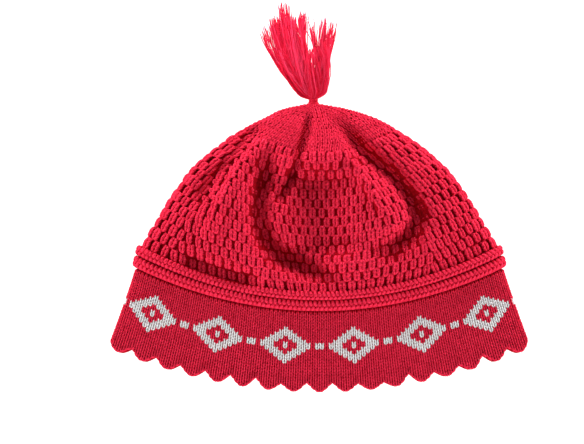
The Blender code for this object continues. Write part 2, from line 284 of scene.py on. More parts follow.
KNIT = mirrored(Strand(
    points=((0.40, -0.80, -0.60), (0.52, -0.15, 0.10), (0.74, 0.80, 0.38), (0.92, 1.70, 0.12),
            (0.88, 2.40, -0.65)),
    radii=(0.32, 0.46, 0.52, 0.48, 0.32)))
TOP_KNIT = mirrored(Strand(
    points=((0.16, -0.80, -0.60), (0.38, -0.12, 0.10), (0.72, 0.78, 0.46), (0.96, 1.60, 0.12),
            (0.92, 2.25, -0.75)),
    radii=(0.28, 0.46, 0.55, 0.48, 0.28)))
BOBBLE = mirrored(
    Strand(
        points=((0.18, 2.90, 0.00), (0.74, 2.40, 0.45), (1.04, 1.60, 0.74), (1.12, 0.80, 0.84),
                (0.44, -0.05, 0.40)),
        radii=(0.72, 0.98, 0.94, 1.14, 0.80)),
    Strand(
        points=((0.50, 0.25, 0.20), (1.12, -0.55, 0.78), (1.04, -1.25, 0.72), (0.84, -2.05, 0.52),
                (0.20, -2.90, 0.00)),
        radii=(0.66, 1.12, 0.92, 1.02, 0.70)),
    Strand(
        points=((0.20, 2.30, -0.30), (0.95, 2.85, -0.16), (1.75, 3.20, -0.40)),
        radii=(0.60, 0.84, 0.60)))
PURL_RIGHT, PURL_LEFT = mirrored(Strand(
    points=((-0.40, 1.25, -0.20), (-0.22, 0.65, 0.18), (0.02, 0.00, 0.30), (0.26, -0.65, 0.18),
            (0.42, -1.25, -0.20)),
    radii=(0.80, 1.14, 1.24, 1.14, 0.80)))
CAST_OFF = (Strand(
    points=((-1.10, 0.35, 0.20), (-0.40, -0.02, 0.18), (0.35, -0.12, -0.05), (1.05, 0.10, -0.40)),
    radii=(0.45, 0.68, 0.68, 0.45)),)


@dataclass(frozen=True)
class Ring:
    """One row of the form, measured along its cloth.

    Attributes:
        along: Where the row is, from 0 at the hem to 1 at the apex.
        turns: Turns round the row, in radians.
        arcs: The length of cloth from the first turn to each of them, in metres.
    """

    along: float
    turns: np.ndarray
    arcs: np.ndarray

    @property
    def length(self) -> float:
        """The length of the whole row."""
        return float(self.arcs[-1])

    def turn_at(self, arc: np.ndarray) -> np.ndarray:
        """The turn at a length of cloth, which may run past the row's start or end."""
        laps = np.floor(np.asarray(arc) / self.length)
        return np.interp(arc - laps * self.length, self.arcs, self.turns) + laps * 2 * math.pi

    def arc_at(self, degrees: float) -> float:
        """The length of cloth up to a turn."""
        return float(np.interp(math.radians(degrees), self.turns, self.arcs))

    def spaced(self, count: int) -> np.ndarray:
        """Turns at even steps of cloth, from the row's start."""
        return self.turn_at(np.arange(count) / count * self.length)


@dataclass(frozen=True)
class Around:
    """Points of the cloth on and round some stitches, a row of each array for each stitch.

    Attributes:
        here: The stitches' middles.
        left: Points half a wale to one side.
        right: Points half a wale to the other side.
        below: Points half a course below.
        above: Points half a course above.
        turn: Turns round the row, in radians.
    """

    here: np.ndarray
    left: np.ndarray
    right: np.ndarray
    below: np.ndarray
    above: np.ndarray
    turn: np.ndarray

    @staticmethod
    def of(point: Callable[[np.ndarray, np.ndarray], tuple[np.ndarray, np.ndarray]], share: np.ndarray,
           level: np.ndarray | float, half: float, step: float) -> Around:
        """Find the points with a function.

        Args:
            point: Gives points and their turns for shares of a row and levels across it.
            share: Where the stitches are on their row.
            level: Where their row is.
            half: Half a wale, as a share.
            step: Half a course, as a level.

        Returns:
            The points.
        """
        here, turn = point(share, level)
        sides = ((-1, 0), (1, 0), (0, -1), (0, 1))
        return Around(here, *(point(share + x * half, level + y * step)[0] for x, y in sides), turn)

    def places(self, wale: float, course: float, lean: float = 1.0) -> Places:
        """The stitches' places.

        Args:
            wale: The width of a stitch of unit size.
            course: The height of a stitch of unit size.
            lean: How far a stitch may lean along its row, against its height.

        Returns:
            The places.
        """
        across, up = (self.right - self.left) / wale, (self.above - self.below) / course
        along_row = unit(across)
        slant = (up * along_row).sum(axis=1, keepdims=True)
        square = up - slant * along_row
        most = lean * np.linalg.norm(square, axis=1, keepdims=True)
        up = square + np.clip(slant, -most, most) * along_row
        turn = (self.turn + math.pi) % (2 * math.pi) - math.pi
        return Places(self.here, across, up, unit(np.cross(across, up)), turn)


@dataclass(frozen=True)
class Places:
    """Where stitches lie, a row of each array for each stitch.

    Attributes:
        position: The stitch's middle.
        across: Along the row, with a length of 1 where the wale has its unit width.
        up: Along the wale, with a length of 1 where the course has its unit height.
        out: Out of the cloth, with a length of 1.
        turn: Turns round the row, in radians.
    """

    position: np.ndarray
    across: np.ndarray
    up: np.ndarray
    out: np.ndarray
    turn: np.ndarray

    def where(self, mask: np.ndarray) -> Places:
        """The places that a mask picks."""
        return Places(*(getattr(self, column.name)[mask] for column in fields(self)))

    def sunk(self, depth: float, under: float = 0.0, beside: float = 0.0, upright: float = 0.55) -> Places:
        """The same places below the cloth's face, and lower still where they face the floor or a side.

        Args:
            depth: How deep they all are.
            under: How much deeper where they face down.
            beside: How much deeper where they face a side.
            upright: How far out may point up or down before a place doesn't face a side.

        Returns:
            The places.
        """
        level = self.out[:, 2:]
        depths = depth + under * smoothstep(-level) + beside * (1 - smoothstep(np.abs(level) / upright))
        return replace(self, position=self.position - self.out * depths)

    def resting(self, height: float) -> Places:
        """The same places, raised so far that stitches stay above the floor.

        Args:
            height: How high and how wide the stitches are from their middles.

        Returns:
            The places.
        """
        lowest = height * (np.maximum(-self.out[:, 2], 0.0) + np.abs(self.across[:, 2]))
        raised = np.maximum(self.position[:, 2], lowest)
        return replace(self, position=np.column_stack([self.position[:, :2], raised]))

    @staticmethod
    def joined(parts: list[Places]) -> Places:
        """All places of several lists in one."""
        names = [column.name for column in fields(Places)]
        return Places(*(np.concatenate([getattr(part, name) for part in parts]) for name in names))


@dataclass
class HatForm:
    """The surface that the cloth lies on: the solids' own sizes, with some folds deeper and longer.

    Attributes:
        origin: The middle of the hem's edge, in the model's frame.
        arch: Power of the front layer's rise towards its middle.
        flat_facing: The least roundness of a row, which sets how far its side folds reach in.
        fold_end: The share of a fold's route over which it fades out at each end.
        slack: How much of the front layer's rise counts in its length; the rest is stretch.
        slack_end: The turns, in degrees, between which the rise comes to count in full, towards the side fold.
    """

    origin: np.ndarray
    width: float = 0.260
    hem_bow: float = 0.028
    crest_height: float = 0.038
    side_height: float = 0.006
    back_setback: float = 0.005
    apex_shift: float = -0.0037
    length: float = 0.1767
    apex_radius: float = 0.0046
    arch: float = 0.9
    flat_facing: float = 0.35
    fold_end: float = 0.22
    slack: float = 0.3
    slack_end: tuple[float, float] = (72.0, 86.0)
    samples: int = 2001
    sections: tuple[Section, ...] = SECTIONS
    folds: tuple[Fold, ...] = FOLDS
    columns: dict[str, np.ndarray] = field(init=False)
    fold_lines: list[tuple[Fold, np.ndarray]] = field(init=False)
    rings: dict[float, Ring] = field(default_factory=dict)

    def __post_init__(self) -> None:
        """Read the tables into columns, and lay out each fold's route seen from above."""
        self.columns = {name: np.array([getattr(s, name) for s in self.sections]) for name in Section._fields}
        self.fold_lines = []
        for fold in self.folds:
            across, along = np.array(fold.route).T
            self.fold_lines.append((fold, self.flat_point(self.row_at(along), along, across)))

    def curve(self, column: str, at: np.ndarray) -> np.ndarray:
        """A smooth curve through one column of the sections.

        Args:
            column: The column's name.
            at: Places along the cap.

        Returns:
            The column's value at each place.
        """
        keys, values = self.columns["along"], self.columns[column]
        slopes = np.gradient(values, keys)
        i = np.clip(np.searchsorted(keys, at) - 1, 0, len(keys) - 2)
        step = keys[i + 1] - keys[i]
        t = (at - keys[i]) / step
        return (
            (2 * t**3 - 3 * t**2 + 1) * values[i]
            + (t**3 - 2 * t**2 + t) * step * slopes[i]
            + (3 * t**2 - 2 * t**3) * values[i + 1]
            + (t**3 - t**2) * step * slopes[i + 1]
        )

    def row_at(self, along: np.ndarray) -> dict[str, np.ndarray]:
        """The sizes of the cross-sections.

        Args:
            along: Places along the cap.

        Returns:
            Each size by its name, with a value for each place.
        """
        front = self.curve("rise", along) * self.crest_height
        return {
            "half_width": np.maximum(self.curve("width", along) * self.width / 2, self.apex_radius),
            "bow": self.curve("bow", along) * self.hem_bow,
            "front": front,
            "side": np.minimum(self.side_height, front / 2),
            "shift": self.curve("shift", along) * self.apex_shift,
        }

    def flat_point(self, row: dict[str, np.ndarray], along: np.ndarray, across: np.ndarray) -> np.ndarray:
        """Where points of the front layer lie seen from above, from the hem's middle."""
        return np.stack([row["shift"] + across * row["half_width"],
                         along * self.length + row["bow"] * across**2], axis=-1)

    def dents(self, points: np.ndarray) -> np.ndarray:
        """How deep the folds press the front layer.

        Args:
            points: Points seen from above.

        Returns:
            The depth at each of them.
        """
        depth, row = np.zeros(len(points)), np.arange(len(points))
        for fold, line in self.fold_lines:
            starts, steps = line[:-1], np.diff(line, axis=0)
            lengths = np.linalg.norm(steps, axis=1)
            share = np.clip(((points[:, None] - starts) * steps).sum(axis=2) / lengths**2, 0, 1)
            apart = np.linalg.norm(points[:, None] - starts - share[..., None] * steps, axis=2)
            nearest = apart.argmin(axis=1)
            before = np.concatenate([[0.0], np.cumsum(lengths)])
            travelled = before[nearest] + share[row, nearest] * lengths[nearest]
            to_end = np.minimum(travelled, before[-1] - travelled) / before[-1]
            spread = apart[row, nearest] / (fold.width * self.width)
            depth += fold.depth * self.crest_height * np.exp(-spread**2) * smoothstep(to_end / self.fold_end)
        return depth

    def points(self, turn: np.ndarray, along: np.ndarray, inset: np.ndarray | float = 0.0) -> np.ndarray:
        """Points of the cloth.

        Args:
            turn: Turns round the rows, in radians.
            along: Places along the cap.
            inset: Depths below the outer face, or where negative proud of the front and sides.

        Returns:
            A row of x, y and z for each point.
        """
        turn, along, inset = np.broadcast_arrays(np.asarray(turn, float), along, inset)
        row = self.row_at(along)
        across = np.sin(turn)
        roundness = np.clip(row["front"] / (2 * row["half_width"]), self.flat_facing, 1.0)
        facing = np.clip(np.cos(turn) / roundness, -1.0, 1.0)
        flat = self.flat_point(row, along, across * (1 - inset / row["half_width"]))
        over = row["side"] + (row["front"] - row["side"]) * np.maximum(np.cos(turn), 0.0) ** self.arch
        over = over - self.dents(self.flat_point(row, along, across)) * smoothstep(facing) - inset * facing
        under = row["side"] * (1 + facing) ** 2 - np.maximum(inset, 0.0) * facing
        ahead = facing >= 0
        setback = np.where(ahead, 0.0, self.back_setback * (1 - along) * np.cos(turn))
        height = np.where(ahead, over, under)
        return np.stack([flat[:, 0], flat[:, 1] - setback, height], axis=-1) + self.origin

    def ring(self, along: float) -> Ring:
        """One row of the form, measured along its cloth from the middle of the back.

        Args:
            along: Where the row is.

        Returns:
            The row, which is measured once.
        """
        key = round(along, 7)
        if key not in self.rings:
            turns = np.linspace(-math.pi, math.pi, self.samples)
            first, last = self.slack_end
            beside = smoothstep((np.degrees(np.abs(turns[1:] + turns[:-1]) / 2) - first) / (last - first))
            steps = np.diff(self.points(turns, along), axis=0)
            steps[:, 2] *= self.slack + (1 - self.slack) * beside
            steps = np.linalg.norm(steps, axis=1)
            self.rings[key] = Ring(along, turns, np.concatenate([[0.0], np.cumsum(steps)]))
        return self.rings[key]


class NodeWriter:
    """Adds nodes to a tree, each with its inputs fed or set."""

    def __init__(self, tree: bpy.types.NodeTree) -> None:
        """Take a tree."""
        self.tree = tree

    def add(self, kind: str, inputs: Inputs | None = None, **settings: object) -> bpy.types.Node:
        """Add a node.

        Args:
            kind: The node's type.
            inputs: For each of its inputs the socket that feeds it, or its value.
            settings: The node's own properties.

        Returns:
            The node.
        """
        node = self.tree.nodes.new(kind)
        for name, value in settings.items():
            setattr(node, name, value)
        self.feed(node, inputs or {})
        return node

    def feed(self, node: bpy.types.Node, inputs: Inputs) -> None:
        """Feed or set a node's inputs.

        Args:
            node: The node.
            inputs: For each input the socket that feeds it, or its value.
        """
        for key, value in inputs.items():
            if isinstance(value, bpy.types.NodeSocket):
                self.tree.links.new(value, node.inputs[key])
            else:
                node.inputs[key].default_value = value

    def reckon(self, operation: str, *values: object) -> bpy.types.NodeSocket:
        """Add a Math node on sockets and numbers, and give its result."""
        return self.add("ShaderNodeMath", dict(enumerate(values)), operation=operation).outputs["Value"]

    def blend(self, first: object, second: object, share: bpy.types.NodeSocket) -> bpy.types.NodeSocket:
        """Add a mix of two colours, and give its result."""
        inputs = {"A": first, "B": second, "Factor": share}
        return self.add("ShaderNodeMix", inputs, data_type="RGBA").outputs["Result"]


class Dressing(NodeWriter):
    """A material's nodes round its Principled shader."""

    def __init__(self, name: str, colour: Triple, **constants: object) -> None:
        """Start a material.

        Args:
            name: The material's name.
            colour: Its colour in a plain view.
            constants: Values of the shader's inputs, with _ for each space in their names.
        """
        self.material = bpy.data.materials.new(name)
        self.material.use_nodes = True
        self.material.diffuse_color = (*colour, 1.0)
        super().__init__(self.material.node_tree)
        self.shader = self.tree.nodes["Principled BSDF"]
        self.feed(self.shader, {key.replace("_", " "): value for key, value in constants.items()})

    def finish(self, colour: bpy.types.NodeSocket, height: bpy.types.NodeSocket, relief: float,
               strength: float = 1.0, invert: bool = False) -> bpy.types.Material:
        """Feed the shader.

        Args:
            colour: The base colour.
            height: The height of the surface's relief, from 0 to 1.
            relief: What a height of 1 is, in metres.
            strength: How strongly it shows.
            invert: Whether a height of 1 is the lowest.

        Returns:
            The material.
        """
        inputs = {"Height": height, "Strength": strength, "Distance": relief}
        normal = self.add("ShaderNodeBump", inputs, invert=invert).outputs["Normal"]
        self.feed(self.shader, {"Base Color": colour, "Normal": normal})
        return self.material


@dataclass(frozen=True)
class YarnFinish:
    """A matt, slightly fuzzy yarn, whose colour holds painted shade and a painted highlight.

    Attributes:
        name: The material's name.
        colour: Linear colour of the yarn.
        shade: Linear colour of its darker turns: painted shade in the ply grooves, between the fibres and under
            each strand, and darker random tone.
        sheen: How much light its loose fibres catch.
        fuzz: Roughness of those fibres.
        roughness: Roughness of the yarn under its fibres.
        twist: Turns of the plies for each unit of the yarn's own UV map, along it and round it.
        wander: How unevenly the plies run.
        fibre: How many fibres lie side by side in a metre.
        plies, mottle, variety, wear: How much the plies, the fibres, each stitch's tint and the yarn's upper
            side
        count in its colour: painted shade in the ply grooves and between the fibres, a random tone for each
            stitch, and a painted highlight on each strand's upper side with painted shade on its underside.
        tones: The sums at which the colour starts to leave its shade, and has left it.
        relief: Height of the twist, in metres.
        fibre_relief: Height of the fibres against it.
        bump: How strongly both show.
    """

    name: str
    colour: Triple
    shade: Triple
    sheen: float = 0.0
    fuzz: float = 0.45
    roughness: float = 0.6
    twist: tuple[float, float] = (4.5, 1.885)
    wander: float = 0.6
    fibre: float = 1000.0
    plies: float = 1.2
    mottle: float = 7.0
    variety: float = 1.0
    # painted highlight on each strand's upper side, painted shade on its underside
    wear: float = 1.6
    tones: tuple[float, float] = (2.6, 6.6)
    relief: float = 0.32 * MM
    fibre_relief: float = 1.3
    bump: float = 0.8

    def material(self) -> bpy.types.Material:
        """The yarn's material: plies wound round each strand, fine fibres and a tint for each stitch, with
        painted shade and a painted highlight.
        """
        nodes = Dressing(self.name, self.colour, Roughness=self.roughness, Sheen_Weight=self.sheen,
                         Sheen_Roughness=self.fuzz, Sheen_Tint=WHITE, Specular_IOR_Level=0.0)
        uv = nodes.add("ShaderNodeUVMap", uv_map="UVMap").outputs["UV"]
        wound = nodes.add("ShaderNodeMapping", {"Vector": uv, "Scale": (*self.twist, 1.0)}).outputs["Vector"]
        plies = nodes.add("ShaderNodeTexWave", {"Vector": wound, "Scale": 1.0, "Distortion": self.wander,
                                                "Detail": 1.0}, bands_direction="DIAGONAL").outputs["Fac"]
        place = nodes.add("ShaderNodeTexCoord").outputs["Object"]
        fibres = nodes.add("ShaderNodeTexNoise", {"Vector": place, "Scale": self.fibre,
                                                  "Detail": 2.0}).outputs["Fac"]
        tint = nodes.add("ShaderNodeAttribute", attribute_name="tint").outputs["Fac"]
        around = nodes.add("ShaderNodeSeparateXYZ", {"Vector": uv}).outputs["Y"]
        # Painted highlight and shade: each strand's upper side, found by its UV round it, turns to the light
        # colour and its underside to the shade colour.
        upward = nodes.reckon("COSINE", nodes.reckon("MULTIPLY_ADD", around, 2 * math.pi, -math.pi / 2))

        # Painted shade: low spots of the fibre noise and the ply grooves darken the colour towards its shade;
        # each stitch's tint adds a random tone.
        tone = nodes.reckon("MULTIPLY", tint, self.variety)
        for amount, weight in ((fibres, self.mottle), (plies, self.plies), (upward, self.wear)):
            tone = nodes.reckon("MULTIPLY_ADD", amount, weight, tone)
        darkest, lightest = self.tones
        share = nodes.add("ShaderNodeMapRange", {"Value": tone, "From Min": darkest, "From Max": lightest})
        colour = nodes.blend((*self.shade, 1.0), (*self.colour, 1.0), share.outputs["Result"])
        height = nodes.reckon("MULTIPLY_ADD", fibres, self.fibre_relief, plies)
        return nodes.finish(colour, height, self.relief, strength=self.bump)


@dataclass(frozen=True)
class PurlFinish:
    """The wrong side of the cloth, with a low bump for each stitch, and painted shade on the yarn behind its
    face.

    Attributes:
        name: The material's name.
        colour: Linear colour of the inner side.
        recess: Linear colour of the outer side, deep between the stitches: painted shade.
        roughness: Roughness of the cloth.
        gloss: Specular level of the cloth.
        unevenness: How far the bumps stray.
        shade: The colour between the bumps against the one on them, as painted shade.
        relief: Height of the bumps, in metres.
    """

    name: str
    colour: Triple
    recess: Triple
    roughness: float = 0.9
    gloss: float = 0.05
    unevenness: float = 0.15
    shade: float = 0.35
    relief: float = 0.5 * MM

    def material(self) -> bpy.types.Material:
        """The cloth's material, which reads its UV map in wales and courses, with painted shade between the
        bumps and on its outer side.
        """
        nodes = Dressing(self.name, self.colour, Roughness=self.roughness, Specular_IOR_Level=self.gloss)
        uv = nodes.add("ShaderNodeUVMap", uv_map="UVMap").outputs["UV"]
        loops = nodes.add("ShaderNodeTexVoronoi", {"Vector": uv, "Scale": 1.0, "Randomness": self.unevenness},
                          feature="F1").outputs["Distance"]
        inner = nodes.add("ShaderNodeAttribute", attribute_name="inner").outputs["Fac"]
        # Painted shade: the outer side, deep between the stitches, takes the darker colour.
        side = nodes.blend((*self.recess, 1.0), (*self.colour, 1.0), inner)
        # Painted shade between the bumps, darker towards the edge of each cell.
        colour = nodes.blend(side, (*(self.shade * part for part in self.colour), 1.0), loops)
        return nodes.finish(colour, loops, self.relief, invert=True)


def new_object(name: str, data: bpy.types.ID) -> bpy.types.Object:
    """Put an object with some data in the scene.

    Args:
        name: The object's name.
        data: Its mesh, light or camera.

    Returns:
        The object.
    """
    thing = bpy.data.objects.new(name, data)
    bpy.context.scene.collection.objects.link(thing)
    return thing


def grid_mesh(name: str, rings: np.ndarray, uvs: np.ndarray, closed: bool) -> bpy.types.Mesh:
    """A closed body through rings of points.

    Args:
        name: The mesh's name.
        rings: Points by ring and by place on the ring, each ring running once round.
        uvs: A UV for each point, with one more ring and one more place for the seams.
        closed: Whether the last ring meets the first; otherwise both ends are poles at the rings' middles.

    Returns:
        The mesh, with its faces outwards.
    """
    count, sides = rings.shape[:2]
    mesh = bmesh.new()
    layer = mesh.loops.layers.uv.new("UVMap")
    verts = [[mesh.verts.new(point) for point in ring] for ring in rings]
    for i in range(count if closed else count - 1):
        following = (i + 1) % count
        for j in range(sides):
            k = (j + 1) % sides
            face = mesh.faces.new((verts[i][j], verts[following][j], verts[following][k], verts[i][k]))
            corners = ((i, j), (i + 1, j), (i + 1, j + 1), (i, j + 1))
            for loop, (a, b) in zip(face.loops, corners):
                loop[layer].uv = uvs[a, b]
    if not closed:
        for end in (0, count - 1):
            pole = mesh.verts.new(rings[end].mean(axis=0))
            for j in range(sides):
                face = mesh.faces.new((verts[end][j], verts[end][(j + 1) % sides], pole))
                for loop, place in zip(face.loops, (j, j + 1, j)):
                    loop[layer].uv = uvs[end, place]
    bmesh.ops.recalc_face_normals(mesh, faces=mesh.faces)
    data = bpy.data.meshes.new(name)
    mesh.to_mesh(data)
    mesh.free()
    data.shade_smooth()
    return data


def smooth_path(points: np.ndarray, count: int) -> np.ndarray:
    """A Catmull-Rom curve through points.

    Args:
        points: The points, with any number of columns.
        count: How many points the curve has.

    Returns:
        Points of the curve at evenly spaced shares.
    """
    padded = np.concatenate([2 * points[:1] - points[1:2], points, 2 * points[-1:] - points[-2:-1]])
    at = np.linspace(0, len(points) - 1, count)
    i = np.minimum(at.astype(int), len(points) - 2)
    t = (at - i)[:, None]
    a, b, c, d = padded[i], padded[i + 1], padded[i + 2], padded[i + 3]
    return 0.5 * (2 * b + (c - a) * t + (2 * a - 5 * b + 4 * c - d) * t**2 + (3 * b - a - 3 * c + d) * t**3)


def stitch_shape(name: str, strands: tuple[Strand, ...], rings: int, sides: int) -> bpy.types.Object:
    """A unit stitch: closed lengths of yarn in one mesh.

    Args:
        name: The stitch's name.
        strands: Its lengths of yarn.
        rings: Rings along each length.
        sides: Sides round it.

    Returns:
        The stitch, which belongs to no collection.
    """
    joined = bmesh.new()
    for strand in strands:
        route = smooth_path(np.column_stack([strand.points, strand.radii]) * MM, rings)
        centre, radius = route[:, :3], route[:, 3]
        heading = unit(np.gradient(centre, axis=0))
        side = unit(np.cross(heading, (0.0, 0.0, 1.0)))
        up = np.cross(side, heading)
        angles = np.arange(sides) * 2 * math.pi / sides
        circle = np.cos(angles)[None, :, None] * side[:, None] + np.sin(angles)[None, :, None] * up[:, None]
        tube = centre[:, None] + radius[:, None, None] * circle
        lengths = np.concatenate([[0.0], np.cumsum(np.linalg.norm(np.diff(centre, axis=0), axis=1))])
        u = np.broadcast_to(lengths[:, None] / YARN_UNIT, (rings, sides + 1))
        v = np.broadcast_to(np.linspace(0, 1, sides + 1), (rings, sides + 1))
        part = grid_mesh(name, tube, np.stack([u, v], axis=-1), closed=False)
        joined.from_mesh(part)
        bpy.data.meshes.remove(part)
    data = bpy.data.meshes.new(name)
    joined.to_mesh(data)
    joined.free()
    data.shade_smooth()
    return bpy.data.objects.new(name, data)


class GeometryTree(NodeWriter):
    """A Geometry Nodes tree with named inputs, which ends in real geometry with a yarn on it."""

    def __init__(self, name: str, **inputs: str) -> None:
        """Start a tree that takes a geometry, a yarn and more inputs.

        Args:
            name: The tree's name.
            inputs: The kind of each further input.
        """
        super().__init__(bpy.data.node_groups.new(name, "GeometryNodeTree"))
        self.inputs: dict[str, str] = {}
        for key, kind in {"Geometry": "Geometry", "Yarn": "Material", **inputs}.items():
            socket = self.tree.interface.new_socket(key, in_out="INPUT", socket_type=f"NodeSocket{kind}")
            self.inputs[key] = socket.identifier
        self.tree.interface.new_socket("Geometry", in_out="OUTPUT", socket_type="NodeSocketGeometry")
        self.start = self.add("NodeGroupInput").outputs

    def end(self, geometry: bpy.types.NodeSocket) -> None:
        """Make a geometry real, give it the yarn and put it out.

        Args:
            geometry: The socket that gives it.
        """
        real = self.add("GeometryNodeRealizeInstances", {"Geometry": geometry}).outputs["Geometry"]
        dressed = self.add("GeometryNodeSetMaterial", {"Geometry": real, "Material": self.start["Yarn"]})
        self.add("NodeGroupOutput", {"Geometry": dressed.outputs["Geometry"]})

    def run(self, name: str, mesh: bpy.types.Mesh, **values: object) -> bpy.types.Object:
        """Run the tree on a mesh.

        Args:
            name: The new piece's name.
            mesh: The mesh that goes in.
            values: The tree's inputs by name.

        Returns:
            The piece as a plain mesh at the origin.
        """
        piece = new_object(name, mesh)
        modifier = piece.modifiers.new("nodes", "NODES")
        modifier.node_group = self.tree
        for key, value in values.items():
            modifier[self.inputs[key]] = value
        graph = bpy.context.evaluated_depsgraph_get()
        made = bpy.data.meshes.new_from_object(piece.evaluated_get(graph), preserve_all_data_layers=True,
                                               depsgraph=graph)
        piece.modifiers.clear()
        piece.data = made
        made.name = name
        bpy.data.meshes.remove(mesh)
        return piece


class StitchLayer:
    """Lays copies of a unit stitch on places of the form.

    Attributes:
        axes: The places' directions that a stitch is turned and sized by.
    """

    axes = ("across", "up", "out")

    def __init__(self) -> None:
        """Build the tree: an instance on each point, set by its frame, then made real."""
        tree = GeometryTree("laid_stitches", Stitch="Object", Width="Float", Height="Float", Looseness="Float",
                            Unevenness="Float", Seed="Int")
        self.tree, start = tree, tree.start
        shape = tree.add("GeometryNodeObjectInfo", {"Object": start["Stitch"]}).outputs["Geometry"]
        laid = tree.add("GeometryNodeInstanceOnPoints", {"Points": start["Geometry"], "Instance": shape})
        shaking = tree.add("FunctionNodeRandomValue", {"Min": (-1.0, -1.0, -1.0), "Seed": start["Seed"]},
                           data_type="FLOAT_VECTOR").outputs["Value"]
        here = tree.add("GeometryNodeInputPosition").outputs["Position"]
        moved = tree.add("ShaderNodeVectorMath", {0: here, 1: self.scaled(shaking, start["Looseness"])},
                         operation="ADD").outputs["Vector"]
        columns = []
        for column, (axis, size) in enumerate(zip(self.axes, (start["Width"], start["Height"], None)), start=1):
            amount = self.around_one(column)
            if size is not None:
                amount = tree.reckon("MULTIPLY", size, amount)
            arrow = tree.add("GeometryNodeInputNamedAttribute", {"Name": axis}, data_type="FLOAT_VECTOR")
            columns.append(self.scaled(arrow.outputs["Attribute"], amount))
        matrix = tree.add("FunctionNodeCombineMatrix")
        for column, vector in enumerate((*columns, moved), start=1):
            parts = tree.add("ShaderNodeSeparateXYZ", {"Vector": vector}).outputs
            for row, part in enumerate("XYZ", start=1):
                tree.feed(matrix, {f"Column {column} Row {row}": parts[part]})
        placed = tree.add("GeometryNodeSetInstanceTransform", {
            "Instances": laid.outputs["Instances"], "Transform": matrix.outputs["Matrix"]})
        tint = tree.add("FunctionNodeRandomValue", {"Seed": start["Seed"]}, data_type="FLOAT").outputs[1]
        tinted = tree.add("GeometryNodeStoreNamedAttribute", {
            "Name": "tint", "Geometry": placed.outputs["Instances"], "Value": tint},
            data_type="FLOAT", domain="INSTANCE")
        tree.end(tinted.outputs["Geometry"])

    def scaled(self, vector: bpy.types.NodeSocket, amount: bpy.types.NodeSocket) -> bpy.types.NodeSocket:
        """A vector times an amount."""
        inputs = {"Vector": vector, "Scale": amount}
        return self.tree.add("ShaderNodeVectorMath", inputs, operation="SCALE").outputs["Vector"]

    def around_one(self, column: int) -> bpy.types.NodeSocket:
        """A random factor for each stitch, within the unevenness of 1.

        Args:
            column: The column of the stitch's frame, which has draws of its own.

        Returns:
            The socket that gives it.
        """
        start = self.tree.start
        seed = self.tree.reckon("ADD", start["Seed"], 100.0 * column)
        drawn = self.tree.add("FunctionNodeRandomValue", {2: -1.0, "Seed": seed}, data_type="FLOAT").outputs[1]
        return self.tree.reckon("MULTIPLY_ADD", drawn, start["Unevenness"], 1.0)

    def lay(self, name: str, places: Places, shape: bpy.types.Object, yarn: bpy.types.Material, seed: int,
            looseness: float = 0.05 * MM, unevenness: float = 0.06, width: float = 1.0,
            height: float = 1.0) -> bpy.types.Object:
        """Lay one stitch on each place.

        Args:
            name: The piece's name.
            places: Where the stitches lie.
            shape: The unit stitch.
            yarn: Its material.
            seed: Seed of their unevenness.
            looseness: How far a stitch may stray.
            unevenness: How much its sizes may vary.
            width: Width of the stitches against their unit size.
            height: Height of the stitches against their unit size.

        Returns:
            The stitches as one mesh.
        """
        mesh = bpy.data.meshes.new(name)
        mesh.vertices.add(len(places.position))
        mesh.vertices.foreach_set("co", places.position.astype(np.float32).ravel())
        for axis in self.axes:
            arrows = mesh.attributes.new(axis, "FLOAT_VECTOR", "POINT")
            arrows.data.foreach_set("vector", getattr(places, axis).astype(np.float32).ravel())
        piece = self.tree.run(name, mesh, Stitch=shape, Yarn=yarn, Width=width, Height=height, Seed=seed,
                              Looseness=looseness, Unevenness=unevenness)
        for axis in self.axes:
            if axis in piece.data.attributes:
                piece.data.attributes.remove(piece.data.attributes[axis])
        return piece


class YarnSweep:
    """Sweeps a round yarn along paths."""

    def __init__(self) -> None:
        """Build the tree: edges to curves, a circle swept along them with each point's radius."""
        tree = self.tree = GeometryTree("swept_yarn", Sides="Int")
        curve = tree.add("GeometryNodeMeshToCurve", {"Mesh": tree.start["Geometry"]})
        sides = {"Radius": 1.0, "Resolution": tree.start["Sides"]}
        circle = tree.add("GeometryNodeCurvePrimitiveCircle", sides, mode="RADIUS")
        radius = tree.add("GeometryNodeInputNamedAttribute", {"Name": "thickness"}, data_type="FLOAT")
        swept = tree.add("GeometryNodeCurveToMesh", {
            "Curve": curve.outputs["Curve"], "Profile Curve": circle.outputs["Curve"],
            "Scale": radius.outputs["Attribute"], "Fill Caps": True})
        smooth = tree.add("GeometryNodeSetShadeSmooth", {"Geometry": swept.outputs["Mesh"]})
        tree.end(smooth.outputs["Geometry"])

    def sweep(self, name: str, threads: list[Thread], yarn: bpy.types.Material,
              sides: int = 5) -> bpy.types.Object:
        """Sweep yarn along each thread.

        Args:
            name: The piece's name.
            threads: The threads.
            yarn: Their material.
            sides: Sides round each of them.

        Returns:
            The yarn as one mesh.
        """
        edges, start = [], 0
        for thread in threads:
            edges += [(start + i, start + i + 1) for i in range(len(thread.points) - 1)]
            start += len(thread.points)
        mesh = bpy.data.meshes.new(name)
        mesh.from_pydata(np.concatenate([thread.points for thread in threads]).tolist(), edges, [])
        values = {"thickness": [thread.radii for thread in threads],
                  "tint": [np.full(len(thread.points), thread.tint) for thread in threads]}
        for key, value in values.items():
            attribute = mesh.attributes.new(key, "FLOAT", "POINT")
            attribute.data.foreach_set("value", np.concatenate(value).astype(np.float32))
        return self.tree.run(name, mesh, Yarn=yarn, Sides=sides)


